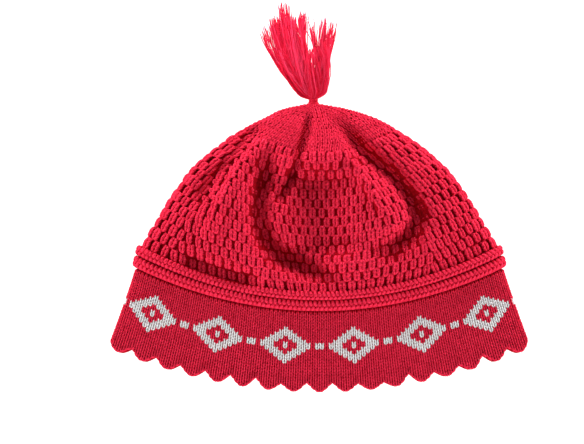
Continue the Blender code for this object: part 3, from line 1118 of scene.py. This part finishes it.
@dataclass
class Workshop:
    """What every sub-assembly needs: the form, the yarns and the tools that lay them."""

    form: HatForm
    red: bpy.types.Material
    white: bpy.types.Material
    tassel: bpy.types.Material
    purl: bpy.types.Material
    stitches: StitchLayer = field(default_factory=StitchLayer)
    yarn: YarnSweep = field(default_factory=YarnSweep)
    pieces: list[bpy.types.Object] = field(default_factory=list)

    def keep(self, piece: bpy.types.Object, slot: Slot, replaced: str | None = None) -> None:
        """Fasten a piece to the model.

        Args:
            piece: The finished piece.
            slot: The record's material slot; not used.
            replaced: The node that it stands for, if any.
        """
        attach(piece, "root")
        if replaced:
            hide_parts(replaced)
        self.pieces.append(piece)
        piece.data.calc_loop_triangles()
        LOG.info("%s: %d triangles", piece.name, len(piece.data.loop_triangles))

    def backing(self, name: str, span: tuple[float, float], faces: tuple[int, int], knit: tuple[int, int],
                depths: tuple[float, float], hem: Scallops | None = None) -> bpy.types.Object:
        """The cloth behind the stitches: a closed wall from just under them to its inner side.

        Args:
            name: The piece's name.
            span: Where its lower and its upper edge are, in metres from the hem.
            faces: Rows of faces on each side, and faces round it.
            knit: Wales round it and courses from edge to edge, for its UV map.
            depths: Depths of its outer and its inner side below the cloth's face.
            hem: The scallops of its lower edge, if it has them.

        Returns:
            The piece.
        """
        form, (start, end), (rows, columns) = self.form, span, faces
        shares = np.linspace(0, 1, rows + 1)
        profile = np.concatenate([shares, shares[::-1]])
        heights, insets = start + profile * (end - start), np.repeat(depths, rows + 1)
        rings = []
        for i, turn in enumerate(form.ring(start / form.length).spaced(columns)):
            lifted = heights + (hem.lift(i / columns, heights) if hem else 0.0)
            rings.append(form.points(np.full(len(profile), turn), lifted / form.length, insets))
        wales, courses = knit
        return self.wall(name, rings, wales, profile * courses, np.repeat([0.0, 1.0], rows + 1), self.purl)

    @staticmethod
    def wall(name: str, rings: list[np.ndarray], wales: int, courses: np.ndarray, inner: np.ndarray,
             yarn: bpy.types.Material) -> bpy.types.Object:
        """A closed wall of cloth.

        Args:
            name: The piece's name.
            rings: Points of its section, which runs once round the wall, at each column.
            wales: Wales round it, for its UV map.
            courses: The course of each point of the section, for its UV map.
            inner: 1 for each point on its inner side, 0 for one on its outer side.
            yarn: Its material.

        Returns:
            The piece.
        """
        columns = len(rings)
        u = np.linspace(0, wales, columns + 1)[:, None] * np.ones(len(courses) + 1)
        v = np.append(courses, 0.0) * np.ones((columns + 1, 1))
        mesh = grid_mesh(name, np.stack(rings), np.stack([u, v], axis=-1), closed=True)
        mesh.attributes.new("inner", "FLOAT", "POINT").data.foreach_set("value", np.tile(inner, columns))
        mesh.materials.append(yarn)
        return new_object(name, mesh)


@dataclass(frozen=True)
class Scallops:
    """The tabs of the hem, parted by small rounded notches of uneven depth.

    Attributes:
        count: How many there are.
        depth: How deep a notch is.
        wave: The share of its depth that is a soft wave; the rest is a sharp cut.
        above: How far above a notch the cloth is drawn up, in depths.
        unevenness: How much the depths vary.
        seed: Seed of their draws.
    """

    count: int = 34
    depth: float = 0.0056
    wave: float = 0.6
    above: float = 1.7
    unevenness: float = 0.3
    seed: int = 3

    def lift(self, share: np.ndarray | float, height: np.ndarray) -> np.ndarray:
        """How far the cloth is drawn up.

        Args:
            share: Where it is, as a share of the hem's length.
            height: How high it is above the tips.

        Returns:
            The lift at each place.
        """
        place = np.asarray(share) * self.count + 0.5
        notch = np.round(place)
        near = 1 - 2 * np.abs(place - notch)
        uneven = np.random.default_rng(self.seed).uniform(1 - self.unevenness, 1 + self.unevenness, self.count)
        edge = self.wave * np.sin(near * math.pi / 2) ** 2 + (1 - self.wave) * np.maximum(near, 0.0) ** 3
        edge = edge * self.depth * uneven[notch.astype(int) % self.count]
        return edge * np.clip(1 - height / (self.depth * self.above), 0.0, 1.0)


@dataclass(frozen=True)
class Lozenges:
    """A band of stepped lozenges worked in white stitches, with sizes in stitches.

    Attributes:
        period: The pitch of the lozenges.
        middle: The course that they are centred on.
        outer: Half a lozenge's width.
        inner: Half the width of its opening.
        heart: Half the width of the speck in the opening.
        small: Half the width of the speck between two lozenges.
    """

    period: int = 15
    middle: float = 14.5
    outer: float = 5.6
    inner: float = 3.1
    heart: float = 0.6
    small: float = 1.6

    def is_white(self, wale: np.ndarray, course: np.ndarray) -> np.ndarray:
        """Whether stitches are white.

        Args:
            wale: Their wales.
            course: Their courses.

        Returns:
            True for each white stitch.
        """
        over = np.abs((wale % self.period) - self.period // 2)
        up = np.abs(course - self.middle)
        big, small = over + up, self.period / 2 - over + up
        return ((big <= self.outer) & (big >= self.inner)) | (small <= self.small) | (big <= self.heart)


@dataclass
class Band:
    """The flared band in plain knitting, with white lozenges and a scalloped hem.

    Attributes:
        wales, courses: Stitches round it, and rows of them.
        depth, rise: How deep their middles lie in the cloth, and how high they reach from there.
        groove: The bare stretch under the lower welt.
        cloth_start, cloth_face, cloth_faces: Where the cloth behind them begins, how deep it lies behind their
            middles, and its faces up and round.
        wall: The band's thickness.
        edge_stitches, edge_height, edge_depth, edge_length: How many stitches bind the hem, how far from its
            edge and how deep they lie, and their length against their pitch.
    """

    shop: Workshop
    height: float = 0.0497
    wales: int = 180
    courses: int = 26
    depth: float = 0.9 * MM
    rise: float = 1.1 * MM
    groove: float = 1.7 * MM
    cloth_start: float = 0.3 * MM
    cloth_face: float = 0.45 * MM
    cloth_faces: tuple[int, int] = (10, 272)
    wall: float = 2.2 * MM
    edge_stitches: int = 204
    edge_height: float = 0.8 * MM
    edge_depth: float = 1.1 * MM
    edge_length: float = 1.25
    hem: Scallops = field(default_factory=Scallops)
    pattern: Lozenges = field(default_factory=Lozenges)

    def point(self, share: np.ndarray, height: np.ndarray) -> tuple[np.ndarray, np.ndarray]:
        """Points of the band.

        Args:
            share: Shares of a row.
            height: The row's height above the hem's tips, for each of them.

        Returns:
            The points and their turns.
        """
        form = self.shop.form
        ring = form.ring(float(np.mean(height)) / form.length)
        turn = ring.turn_at(share * ring.length)
        return form.points(turn, (height + self.hem.lift(share, height)) / form.length), turn

    def places(self) -> tuple[Places, np.ndarray, np.ndarray]:
        """The places of all stitches, with their wales and courses."""
        pitch = (self.height - self.groove) / self.courses
        wale = np.arange(self.wales)
        rows = []
        for course in range(self.courses):
            height = np.full(self.wales, (course + 0.5) * pitch)
            around = Around.of(self.point, (wale + 0.5) / self.wales, height, 0.5 / self.wales, 0.5 * pitch)
            rows.append(around.places(KNIT_WALE, KNIT_COURSE))
        places = Places.joined(rows).sunk(self.depth).resting(self.rise)
        return places, np.tile(wale, self.courses), np.repeat(np.arange(self.courses), self.wales)

    def edge_places(self) -> Places:
        """The places of the stitches that bind the hem, along its scallops."""
        count = self.edge_stitches
        share, height = (np.arange(count) + 0.5) / count, np.full(count, self.edge_height)
        around = Around.of(self.point, share, height, 0.5 / count, 0.5 * KNIT_COURSE)
        along = around.right - around.left
        out = unit(np.cross(along, around.above - around.below))
        across = along / KNIT_WALE
        up = np.cross(out, unit(across))
        return Places(around.here, across * self.edge_length, up, out, around.turn).sunk(self.edge_depth)

    def build(self) -> None:
        """Make the band: its backing cloth, its red and its white stitches, and the edge of its hem."""
        shop = self.shop
        backing = shop.backing("band_cloth", (self.cloth_start, self.height), self.cloth_faces,
                               (self.wales, self.courses), (self.depth + self.cloth_face, self.wall), self.hem)
        shop.keep(backing, Slot.BAND, "band")
        places, wales, courses = self.places()
        white = self.pattern.is_white(wales, courses)
        front = np.abs(places.turn) < FRONT_EDGE
        layers = (("band", front, stitch_shape("fine_knit", KNIT, rings=4, sides=6)),
                  ("band_back", ~front, stitch_shape("plain_knit", KNIT, rings=3, sides=4)))
        yarns = (("red", ~white, shop.red), ("white", white, shop.white))
        for seed, ((layer, side, shape), (colour, picked, yarn)) in enumerate(product(layers, yarns), start=1):
            name = f"{layer}_{colour}_stitches"
            shop.keep(shop.stitches.lay(name, places.where(side & picked), shape, yarn, seed), Slot.BAND)
        edge = stitch_shape("cast_off", CAST_OFF, rings=5, sides=6)
        shop.keep(shop.stitches.lay("band_cast_off", self.edge_places(), edge, shop.red, seed=5), Slot.BAND)


@dataclass
class Welt:
    """A rolled ridge with two rows of purl stitches.

    Attributes:
        stitches, wale, course: Stitches in a row, and the width and height that a unit stitch is drawn for.
        proud: How far the roll stands out.
        depth, under: How deep the stitches lie in it, and how much deeper where they face the floor.
        half_row: Half a stitch across the roll, as a share of it.
        core_skin: How far the core stands out of the roll's form.
        wall: The welt's thickness.
        columns, levels: Faces round the core, and points across its outer side.
    """

    shop: Workshop
    name: str
    start: float
    width: float
    stitches: int = 178
    proud: float = 1.7 * MM
    wale: float = 2.6 * MM
    course: float = 2.7 * MM
    depth: float = 0.75 * MM
    under: float = 0.9 * MM
    half_row: float = 0.12
    core_skin: float = 0.05 * MM
    wall: float = 2.2 * MM
    columns: int = 200
    levels: int = 7

    @property
    def ring(self) -> Ring:
        """The row in the middle of the roll."""
        return self.shop.form.ring((self.start + self.width / 2) / self.shop.form.length)

    def bulge(self, level: np.ndarray) -> np.ndarray:
        """How far the roll stands proud at levels across it."""
        return self.proud * np.sqrt(np.clip(1 - (2 * np.asarray(level) - 1) ** 2, 0.0, 1.0))

    def point(self, share: np.ndarray, level: float) -> tuple[np.ndarray, np.ndarray]:
        """Points of the roll.

        Args:
            share: Shares of its length.
            level: A level across it.

        Returns:
            The points and their turns.
        """
        turn = self.ring.turn_at(share * self.ring.length)
        along = (self.start + level * self.width) / self.shop.form.length
        return self.shop.form.points(turn, along, -self.bulge(np.full(len(share), level))), turn

    def row(self, level: float, stagger: float) -> Places:
        """The places of one row of purl stitches.

        Args:
            level: Where the row is across the roll.
            stagger: How far it is moved along the roll, in stitches.

        Returns:
            The places.
        """
        share = (np.arange(self.stitches) + stagger) / self.stitches
        around = Around.of(self.point, share, level, 0.5 / self.stitches, self.half_row)
        places = around.places(self.wale, self.course)
        up = unit(places.up) * (self.width / 2 / self.course)
        return replace(places, up=up).sunk(self.depth, self.under)

    def build(self, node: str, seed: int) -> None:
        """Make the roll: its core, then its two rows of stitches.

        Args:
            node: The model's node that it stands for.
            seed: Seed of the first row's unevenness.
        """
        shop, levels = self.shop, np.linspace(0, 1, self.levels)
        insets = np.concatenate([-self.core_skin - self.bulge(levels), [self.wall, self.wall]])
        heights = self.start + np.concatenate([levels, [1.0, 0.0]]) * self.width
        rings = [shop.form.points(np.full(len(insets), turn), heights / shop.form.length, insets)
                 for turn in self.ring.spaced(self.columns)]
        courses = np.concatenate([levels * 2, [2.0, 0.0]])
        inner = np.repeat([0.0, 1.0], [self.levels, 2])
        core = shop.wall(self.name + "_core", rings, self.stitches, courses, inner, shop.red)
        shop.keep(core, Slot.CROWN, node)
        rows = (("upper", 0.75, 0.0, PURL_RIGHT), ("lower", 0.25, 0.5, PURL_LEFT))
        for own_seed, (name, level, stagger, strand) in enumerate(rows, start=seed):
            shape = stitch_shape("purl", (strand,), rings=6, sides=6)
            purls = shop.stitches.lay(f"{self.name}_{name}_purls", self.row(level, stagger), shape, shop.red,
                                      own_seed)
            shop.keep(purls, Slot.CROWN)


@dataclass
class Lattice:
    """Rows of stitches at an even pitch, whose wales run beside each panel's line and end at its edges.

    Attributes:
        form: The form that they lie on.
        panels: The panels round the cap, from the middle of the back.
        start: Where the lowest row is, from the hem.
        end: Where the highest row is.
        rows: How many rows there are.
        wale: Pitch along a row.
        course: Height of a stitch of unit size.
        loosened: Where the pitch starts to be kept although the rows grow shorter, and where it is.
        staggered: Whether every other row is moved by half a pitch.
        longest: How far a stitch may stretch, against its unit height.
        lean: How far a stitch may lean along its row, against its height.
        blend: How many stitches on each side of an edge are spaced anew.
        most: The most stitches up a wale where a row's cloth is longer.
        counts: The wales between neighbouring lines.
    """

    form: HatForm
    panels: tuple[Panel, ...]
    start: float
    end: float
    rows: int
    wale: float
    course: float
    loosened: tuple[float, float]
    staggered: bool
    longest: float = 1.2
    lean: float = 1.0
    blend: int = 3
    most: int = 3
    counts: list[int] = field(init=False)

    def __post_init__(self) -> None:
        """Count the wales between neighbouring lines on the lowest row."""
        ring = self.form.ring(self.start / self.form.length)
        lines = self.lines(ring)
        self.counts = [max(1, round((after - before) / (self.wale * panel.stretch)))
                       for panel, before, after in zip(self.panels, lines, lines[1:])]

    def lines(self, ring: Ring) -> list[float]:
        """Where the panels' lines cross a row, with the first again at its end."""
        return [*(self.crossing(ring, panel.anchor) for panel in self.panels), ring.length]

    def edges(self, ring: Ring) -> list[float]:
        """Where the panels' edges cross a row."""
        return [self.crossing(ring, panel.edge) for panel in self.panels]

    @staticmethod
    def crossing(ring: Ring, route: Route) -> float:
        """Where a route crosses a row, as a length of its cloth."""
        return ring.arc_at(float(np.interp(ring.along, *np.array(route).T)))

    def spots(self, ring: Ring, phase: float) -> tuple[np.ndarray, np.ndarray, np.ndarray]:
        """The stitches of a row.

        Wales start from both of the lines beside each edge. The last few before it are spaced anew, with as
        many as fit, so that no gap is much wider or narrower than the pitch.

        Args:
            ring: The row.
            phase: 0, or 0.5 where the row is staggered.

        Returns:
            For each stitch the line that it follows, its distance from it and the pitch there.
        """
        lines, edges = self.lines(ring), self.edges(ring)
        kept = float(smoothstep((ring.along - self.loosened[0]) / (self.loosened[1] - self.loosened[0])))
        found = []
        for i, count in enumerate(self.counts):
            low, high = lines[i], lines[i + 1]
            pitch = (high - low) / count * (1 - kept) + self.wale * self.panels[i].stretch * kept
            ahead = low + (np.arange(int((edges[i] - low) / pitch) + 2) + phase) * pitch
            behind = high - (np.arange(int((high - edges[i]) / pitch) + 2) + (phase or 1.0)) * pitch
            ahead, behind = ahead[ahead <= edges[i]], behind[behind > edges[i]][::-1]
            ahead = ahead[:max(len(ahead) - self.blend, 0 if phase else 1)]
            behind = behind[min(len(behind), self.blend):]
            first = ahead[-1] if len(ahead) else low - phase * pitch
            last = behind[0] if len(behind) else high + phase * pitch
            steps = max(1, round((last - first) / pitch))
            between = first + (last - first) * np.arange(1, steps) / steps
            before = between <= edges[i]
            found += [(i, place - low, pitch) for place in np.append(ahead, between[before])]
            found += [(i + 1, place - high, pitch) for place in np.append(between[~before], behind)]
        line, offset, pitch = zip(*found)
        return np.array(line), np.array(offset), np.array(pitch)

    def row_places(self, height: float, gap: float, line: np.ndarray, offset: np.ndarray,
                   pitch: np.ndarray) -> Places:
        """The places of some stitches of a row.

        Args:
            height: How far the row is from the hem.
            gap: Height of the row.
            line: The line that each stitch follows.
            offset: Its distance from it.
            pitch: Pitch along the row there.

        Returns:
            The places.
        """
        form = self.form
        rings = [form.ring((height + side * gap / 2) / form.length) for side in (-1, 0, 1)]
        arcs = [np.array(self.lines(ring))[line] + offset for ring in rings]
        below, here, above = (form.points(ring.turn_at(arc), ring.along) for ring, arc in zip(rings, arcs))
        row, middle = rings[1], arcs[1]
        left, right = (form.points(row.turn_at(middle + side * pitch / 2), row.along) for side in (-1, 1))
        around = Around(here, left, right, below, above, row.turn_at(middle))
        places = around.places(self.wale, self.course, self.lean)
        length = np.linalg.norm(places.up, axis=1, keepdims=True)
        return replace(places, up=places.up * np.minimum(1.0, self.longest / length))

    def places(self) -> Places:
        """The places of all stitches, with more of them up a wale where the cloth is longer."""
        parts = []
        gap = (self.end - self.start) / (self.rows - 1)
        for row in range(self.rows):
            height = self.start + row * gap
            phase = 0.5 * (row % 2) if self.staggered else 0.5
            spots = self.spots(self.form.ring(height / self.form.length), phase)
            low, high = (self.form.ring((height + side * gap / 2) / self.form.length) for side in (-1, 1))
            ends = [self.form.points(ring.turn_at(np.array(self.lines(ring))[spots[0]] + spots[1]), ring.along)
                    for ring in (low, high)]
            counts = np.clip(np.round(np.linalg.norm(ends[1] - ends[0], axis=1) / self.course), 1, self.most)
            for count in range(1, self.most + 1):
                picked = [values[counts == count] for values in spots]
                for part in range(count if len(picked[0]) else 0):
                    level = height + gap * ((part + 0.5) / count - 0.5)
                    parts.append(self.row_places(level, gap / count, *picked))
        return Places.joined(parts)


@dataclass
class Crown:
    """The crown: rows of bobbles, then a smooth top that gathers at the apex.

    Attributes:
        start, top_start: Where the bobbles and the smooth top begin, from the hem.
        wall: The crown's thickness.
        cloth_face, cloth_faces, cloth_knit: How deep the cloth behind the bobbles lies below their middles, its
            faces up and round, and its wales and courses.
        depth, under, beside, rise: How deep the bobbles' middles lie in the cloth, how much deeper where they
            face the floor or a side, and how high they reach from there.
        bobble_wale, bobble_course, bobble_ends: Their pitch along and across their rows, and how far the first
            and the last row are from the ends of their stretch.
        loosened: Where they start to keep their pitch although the rows grow shorter, and where they keep it.
        longest, lean: How far one may stretch and lean against its height.
        size: Their width and height against their unit size.
        looseness, unevenness: How far one may stray, and how much their sizes may vary.
        top_depth, top_rise, top_end, top_loosened, top_lean: The same for the stitches of the top.
        knit_wale, knit_course, knit_reach: Their pitch, and how far one reaches from its middle up its wale.
        shortest: The least share of its height that one keeps at the outline.
    """

    shop: Workshop
    start: float = 0.0622
    top_start: float = 0.1455
    wall: float = 2.6 * MM
    cloth_face: float = 0.35 * MM
    cloth_faces: tuple[int, int] = (46, 180)
    cloth_knit: tuple[int, int] = (176, 46)
    depth: float = 1.25 * MM
    under: float = 0.5 * MM
    beside: float = 0.75 * MM
    rise: float = 2.1 * MM
    bobble_wale: float = 5.6 * MM
    bobble_course: float = 5.6 * MM
    bobble_ends: tuple[float, float] = (2.3 * MM, 2.0 * MM)
    loosened: tuple[float, float] = (0.42, 0.52)
    longest: float = 1.06
    lean: float = 0.3
    size: tuple[float, float] = (1.07, 1.02)
    looseness: float = 0.20 * MM
    unevenness: float = 0.13
    top_depth: float = 0.9 * MM
    top_rise: float = 1.1 * MM
    top_end: float = 1.5 * MM
    top_loosened: tuple[float, float] = (0.80, 0.81)
    top_lean: float = 2.2
    knit_wale: float = 3.0 * MM
    knit_course: float = 2.38 * MM
    knit_reach: float = 3.2 * MM
    shortest: float = 0.25

    def tucked(self, places: Places) -> Places:
        """The same places, with stitches shortened where they would stick out of the outline at the apex.

        Args:
            places: The places of the top's stitches.

        Returns:
            The places.
        """
        form, along = self.shop.form, np.linspace(0.8, 1.0, 81)
        row = form.row_at(along)
        left, right = (form.flat_point(row, along, np.full(len(along), side)) for side in (-1.0, 1.0))
        edge = np.concatenate([left, right[::-1]]) + form.origin[:2]
        reach = places.up * self.knit_reach
        tip = places.position + reach
        over = tip[:, 1] - np.interp(tip[:, 0], edge[:, 0], edge[:, 1])
        share = np.clip(1 - over / np.maximum(reach[:, 1], 0.1 * MM), self.shortest, 1.0)
        return replace(places, up=places.up * share[:, None])

    def lay(self, what: str, places: Places, fine: bpy.types.Object, plain: bpy.types.Object, seed: int,
            **laying: float) -> None:
        """Lay stitches on the front layer, and plainer ones on the back.

        Args:
            what: What they are called.
            places: Where they lie.
            fine: The front layer's unit stitch.
            plain: The back layer's unit stitch.
            seed: Seed of their unevenness in front.
            laying: Their looseness, unevenness, width and height.
        """
        shop, front = self.shop, np.abs(places.turn) < FRONT_EDGE
        layers = (("crown", front, fine), ("crown_back", ~front, plain))
        for own_seed, (layer, mask, shape) in enumerate(layers, start=seed):
            laid = shop.stitches.lay(f"{layer}_{what}", places.where(mask), shape, shop.red, own_seed, **laying)
            shop.keep(laid, Slot.CROWN)

    def build(self) -> None:
        """Make the crown: its backing cloth, its bobbles and the stitches of its top."""
        shop, form = self.shop, self.shop.form
        backing = shop.backing("crown_cloth", (self.start, form.length), self.cloth_faces, self.cloth_knit,
                               (self.depth + self.cloth_face, self.wall))
        shop.keep(backing, Slot.CROWN, "crown")
        rows = round((self.top_start - self.start) / self.bobble_course)
        first, last = self.bobble_ends
        bobbles = Lattice(form, BOBBLE_PANELS, self.start + first, self.top_start - last, rows,
                          self.bobble_wale, self.bobble_course, self.loosened, staggered=True,
                          longest=self.longest, lean=self.lean).places()
        width, height = self.size
        self.lay("bobbles", bobbles.sunk(self.depth, self.under, self.beside).resting(self.rise),
                 stitch_shape("fine_bobble", BOBBLE, rings=5, sides=6),
                 stitch_shape("plain_bobble", BOBBLE, rings=4, sides=4), seed=21, width=width, height=height,
                 looseness=self.looseness, unevenness=self.unevenness)
        courses = round((form.length - self.top_start - 2 * self.top_end) / self.knit_course) + 1
        top = Lattice(form, TOP_PANELS, self.top_start + self.top_end, form.length - self.top_end, courses,
                      self.knit_wale, self.knit_course, self.top_loosened, staggered=False,
                      lean=self.top_lean).places()
        self.lay("top_stitches", self.tucked(top.sunk(self.top_depth)).resting(self.top_rise),
                 stitch_shape("fine_top_knit", TOP_KNIT, rings=5, sides=6),
                 stitch_shape("plain_top_knit", TOP_KNIT, rings=3, sides=4), seed=31,
                 width=self.knit_wale / KNIT_WALE, height=self.knit_course / KNIT_COURSE)


@dataclass
class Tassel:
    """Loose strands of yarn from a bound neck at the apex.

    Attributes:
        apex, neck: Where the neck leaves the crown, and its radius.
        bound: How far the thread is wound up it.
        flare, flare_shift: How far the locks spread just above it, and how far that is moved across.
        opening, narrowing: The share of a strand over which its lock opens, and how much it narrows again.
        strand, strand_taper: A strand's radius, and how much thinner it is at its end.
        reaches, widths: The ranges of the strands' lengths and radii.
        stray, fray: How far their tips and their ends stray.
        wave, waves, crimp, crimps: How far they wave and crimp, and the ranges of how often.
        thread, winds, wind_steps: The binding's radius, its turns and its points.
        skirt, skirt_end: How far its first turns stand out, and where they have drawn in.
        tallest: The most that they stand above and below the neck's axis.
    """

    shop: Workshop
    apex: np.ndarray
    length: float = 0.059
    neck: float = 0.0017
    bound: float = 0.0042
    lock_width: float = 0.0110
    flare: float = 0.0112
    flare_shift: float = 0.17
    opening: float = 0.16
    narrowing: float = 0.30
    strand: float = 0.40 * MM
    strand_taper: float = 0.25
    reaches: tuple[float, float] = (0.86, 1.02)
    widths: tuple[float, float] = (0.8, 1.1)
    stray: float = 0.012
    fray: float = 0.8 * MM
    wave: float = 0.35 * MM
    waves: tuple[float, float] = (9, 20)
    crimp: float = 0.10 * MM
    crimps: tuple[float, float] = (40, 60)
    steps: int = 20
    seed: int = 7
    thread: float = 0.62 * MM
    winds: float = 5.0
    wind_steps: int = 110
    skirt: float = 3.4 * MM
    skirt_end: float = 0.62
    tallest: float = 3.6 * MM

    def strand_path(self, lock: Lock, rng: np.random.Generator) -> Thread:
        """One strand of a lock.

        Args:
            lock: The lock that it belongs to.
            rng: The source of its unevenness.

        Returns:
            The strand.
        """
        base = self.apex + np.array((0.0, self.bound - self.neck / 2, 0.0))
        angle, spread = rng.uniform(0, 2 * math.pi), math.sqrt(rng.uniform(0, 1))
        x, z = spread * math.cos(angle), spread * math.sin(angle)
        reach = lock.reach * rng.uniform(*self.reaches)
        tip = base + self.length * np.array((lock.across + rng.normal(0, self.stray), reach, lock.lift))
        sway = lock.across * 0.35 + lock.sway
        bend = base + self.length * np.array((sway, lock.reach / 2, lock.lift + 0.02))
        t = np.linspace(0, 1, self.steps)[:, None] ** 1.4
        centre = (1 - t) ** 2 * base + 2 * t * (1 - t) * bend + t**2 * tip
        heading = unit((1 - t) * (bend - base) + t * (tip - bend))
        side = unit(np.cross(heading, (0.0, 0.0, 1.0)))
        swell = np.sqrt(smoothstep(t / self.opening))
        centre[:, :1] += (lock.across + self.flare_shift) * self.flare * swell * (1 - t)
        taper = 1 - self.narrowing * smoothstep((t - 0.35) / 0.65)
        half_width = self.neck * 0.75 * (1 - swell) + lock.width * self.lock_width / 2 * swell * taper
        half_height = np.minimum(half_width, self.neck * 0.6 + 0.45 * half_width * swell)
        wave = np.sin(t * rng.uniform(*self.waves) + rng.uniform(0, 6.28)) * self.wave * t
        crimp = np.sin(t * rng.uniform(*self.crimps) + rng.uniform(0, 6.28)) * self.crimp * swell
        fray = t**3 * rng.normal(0, self.fray)
        centre = centre + side * (x * half_width + wave + crimp + fray)
        centre[:, 2:] += z * half_height + wave * 0.5
        centre[:, 2] = np.maximum(centre[:, 2], self.strand * 0.8)
        radii = self.strand * (1 - self.strand_taper * t[:, 0]) * np.clip((1.02 - t[:, 0]) / 0.08, 0.25, 1.0)
        return Thread(centre, radii * rng.uniform(*self.widths), float(rng.uniform(0, 1)))

    def binding(self) -> Thread:
        """The thread that binds the neck, with its lowest turns wide enough to cover the apex."""
        t = np.linspace(0, 1, self.wind_steps)
        angle = t * self.winds * 2 * math.pi
        radius = self.neck + 0.6 * MM + self.skirt * np.clip(1 - t / self.skirt_end, 0.0, 1.0) ** 1.6
        height = np.minimum(radius, self.tallest) * np.sin(angle)
        turns = np.column_stack([radius * np.cos(angle), t * (self.bound + 1.0 * MM) - 1.8 * MM, height])
        return Thread(self.apex + turns, np.full(len(t), self.thread), 0.7)

    def build(self) -> None:
        """Make the strands and the thread that binds them."""
        shop, rng = self.shop, np.random.default_rng(self.seed)
        threads = [self.strand_path(lock, rng) for lock in LOCKS for _ in range(lock.strands)]
        shop.keep(shop.yarn.sweep("tassel_strands", threads, shop.tassel), Slot.TASSEL, "tassel")
        binding = shop.yarn.sweep("tassel_binding", [self.binding()], shop.red, sides=8)
        shop.keep(binding, Slot.TASSEL, "tassel_tie")


@dataclass
class Studio:
    """A pale floor, soft lights and the camera straight above.

    Attributes:
        target: What the camera looks at.
        frame_width: The width of its picture there.
        height: How high it is, and focus_height the height that the picture's width is measured at.
        sensor: The width of its sensor, in millimetres.
        floor_size: The floor's size, and floor_depth how far it lies below the cap.
        paper: The floor's colour, and glow the light that it gives.
        sky: The light from all sides.
    """

    target: tuple[float, float] = (-0.0168, -0.0155)
    frame_width: float = 0.35624
    height: float = 2.2
    focus_height: float = 0.018
    sensor: float = 36.0
    floor_size: float = 6.0
    floor_depth: float = 0.2 * MM
    paper: Triple = (0.6, 0.6, 0.6)
    glow: float = 0.95
    sky: float = 0.15

    def build(self) -> None:
        """Make the floor, the lights and the camera."""
        scene = bpy.context.scene
        scene.view_settings.view_transform = "Standard"
        self.floor()
        scene.world = bpy.data.worlds.new("studio")
        scene.world.use_nodes = True
        sky = scene.world.node_tree.nodes["Background"]
        sky.inputs["Color"].default_value = WHITE
        sky.inputs["Strength"].default_value = self.sky
        for light in LIGHTS:
            self.softbox(light)
        self.camera()

    def floor(self) -> None:
        """White paper that glows a little."""
        mesh = bpy.data.meshes.new("floor")
        half = self.floor_size / 2
        corners = [(x * half, y * half, -self.floor_depth) for x, y in ((-1, -1), (1, -1), (1, 1), (-1, 1))]
        mesh.from_pydata(corners, [], [(0, 1, 2, 3)])
        paper = Dressing("white_paper", self.paper, Base_Color=(*self.paper, 1.0), Roughness=0.9,
                         Emission_Color=WHITE, Emission_Strength=self.glow)
        mesh.materials.append(paper.material)
        floor = new_object("floor", mesh)

    @staticmethod
    def softbox(light: Light) -> None:
        """A soft light, unseen by the camera.

        Args:
            light: Its place, size, power and aim.
        """
        data = bpy.data.lights.new(light.name, "AREA")
        data.shape = "RECTANGLE"
        data.size = light.width
        data.size_y = light.height
        data.energy = light.power
        data.spread = math.radians(light.spread)
        lamp = new_object(light.name, data)
        lamp.location = light.place
        towards = Vector((*light.aim, 0.0)) - Vector(light.place)
        lamp.rotation_euler = towards.to_track_quat("-Z", "Y").to_euler()
        lamp.visible_camera = False

    def camera(self) -> None:
        """A long lens straight above, which keeps the photograph's framing."""
        data = bpy.data.cameras.new("camera")
        data.sensor_width = self.sensor
        data.lens = self.sensor * (self.height - self.focus_height) / self.frame_width
        camera = new_object("camera", data)
        camera.location = (*self.target, self.height)
        bpy.context.scene.camera = camera


def main() -> None:
    """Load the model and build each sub-assembly on it."""
    logging.basicConfig(level=logging.INFO, format="%(name)s %(message)s")
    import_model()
    hem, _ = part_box("band")
    Studio().build()
    # Each yarn's shade colour is painted shade, and each strand's upper side gets a painted highlight.
    red = YarnFinish("red_yarn", colour=(0.97, 0.034, 0.088), shade=(0.44, 0.0004, 0.008))
    white = YarnFinish("white_yarn", colour=(0.97, 0.95, 0.95), shade=(0.88, 0.85, 0.86), sheen=0.15)
    strands = YarnFinish("tassel_yarn", colour=(0.98, 0.066, 0.165), shade=(0.80, 0.014, 0.052), mottle=2.5,
                         variety=4.5)
    # The cloth behind the stitches is darker than the yarn: painted shade in the gaps between them.
    purl = PurlFinish("purl_side", colour=(0.50, 0.004, 0.014), recess=(0.50, 0.001, 0.010))
    shop = Workshop(HatForm(origin=np.array((0.0, hem.y, 0.0))),
                    *(finish.material() for finish in (red, white, strands, purl)))
    Band(shop).build()
    Welt(shop, "lower_welt_roll", start=0.0500, width=0.0062).build("lower_welt", seed=11)
    Welt(shop, "upper_welt_roll", start=0.0565, width=0.0054).build("upper_welt", seed=13)
    Crown(shop).build()
    low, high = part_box("tassel_tie")
    apex = np.array(((low.x + high.x) / 2, low.y - 0.3 * MM, (low.z + high.z) / 2))
    Tassel(shop, apex).build()
    LOG.info("%d pieces", len(shop.pieces))


if __name__ == "__main__":
    main()
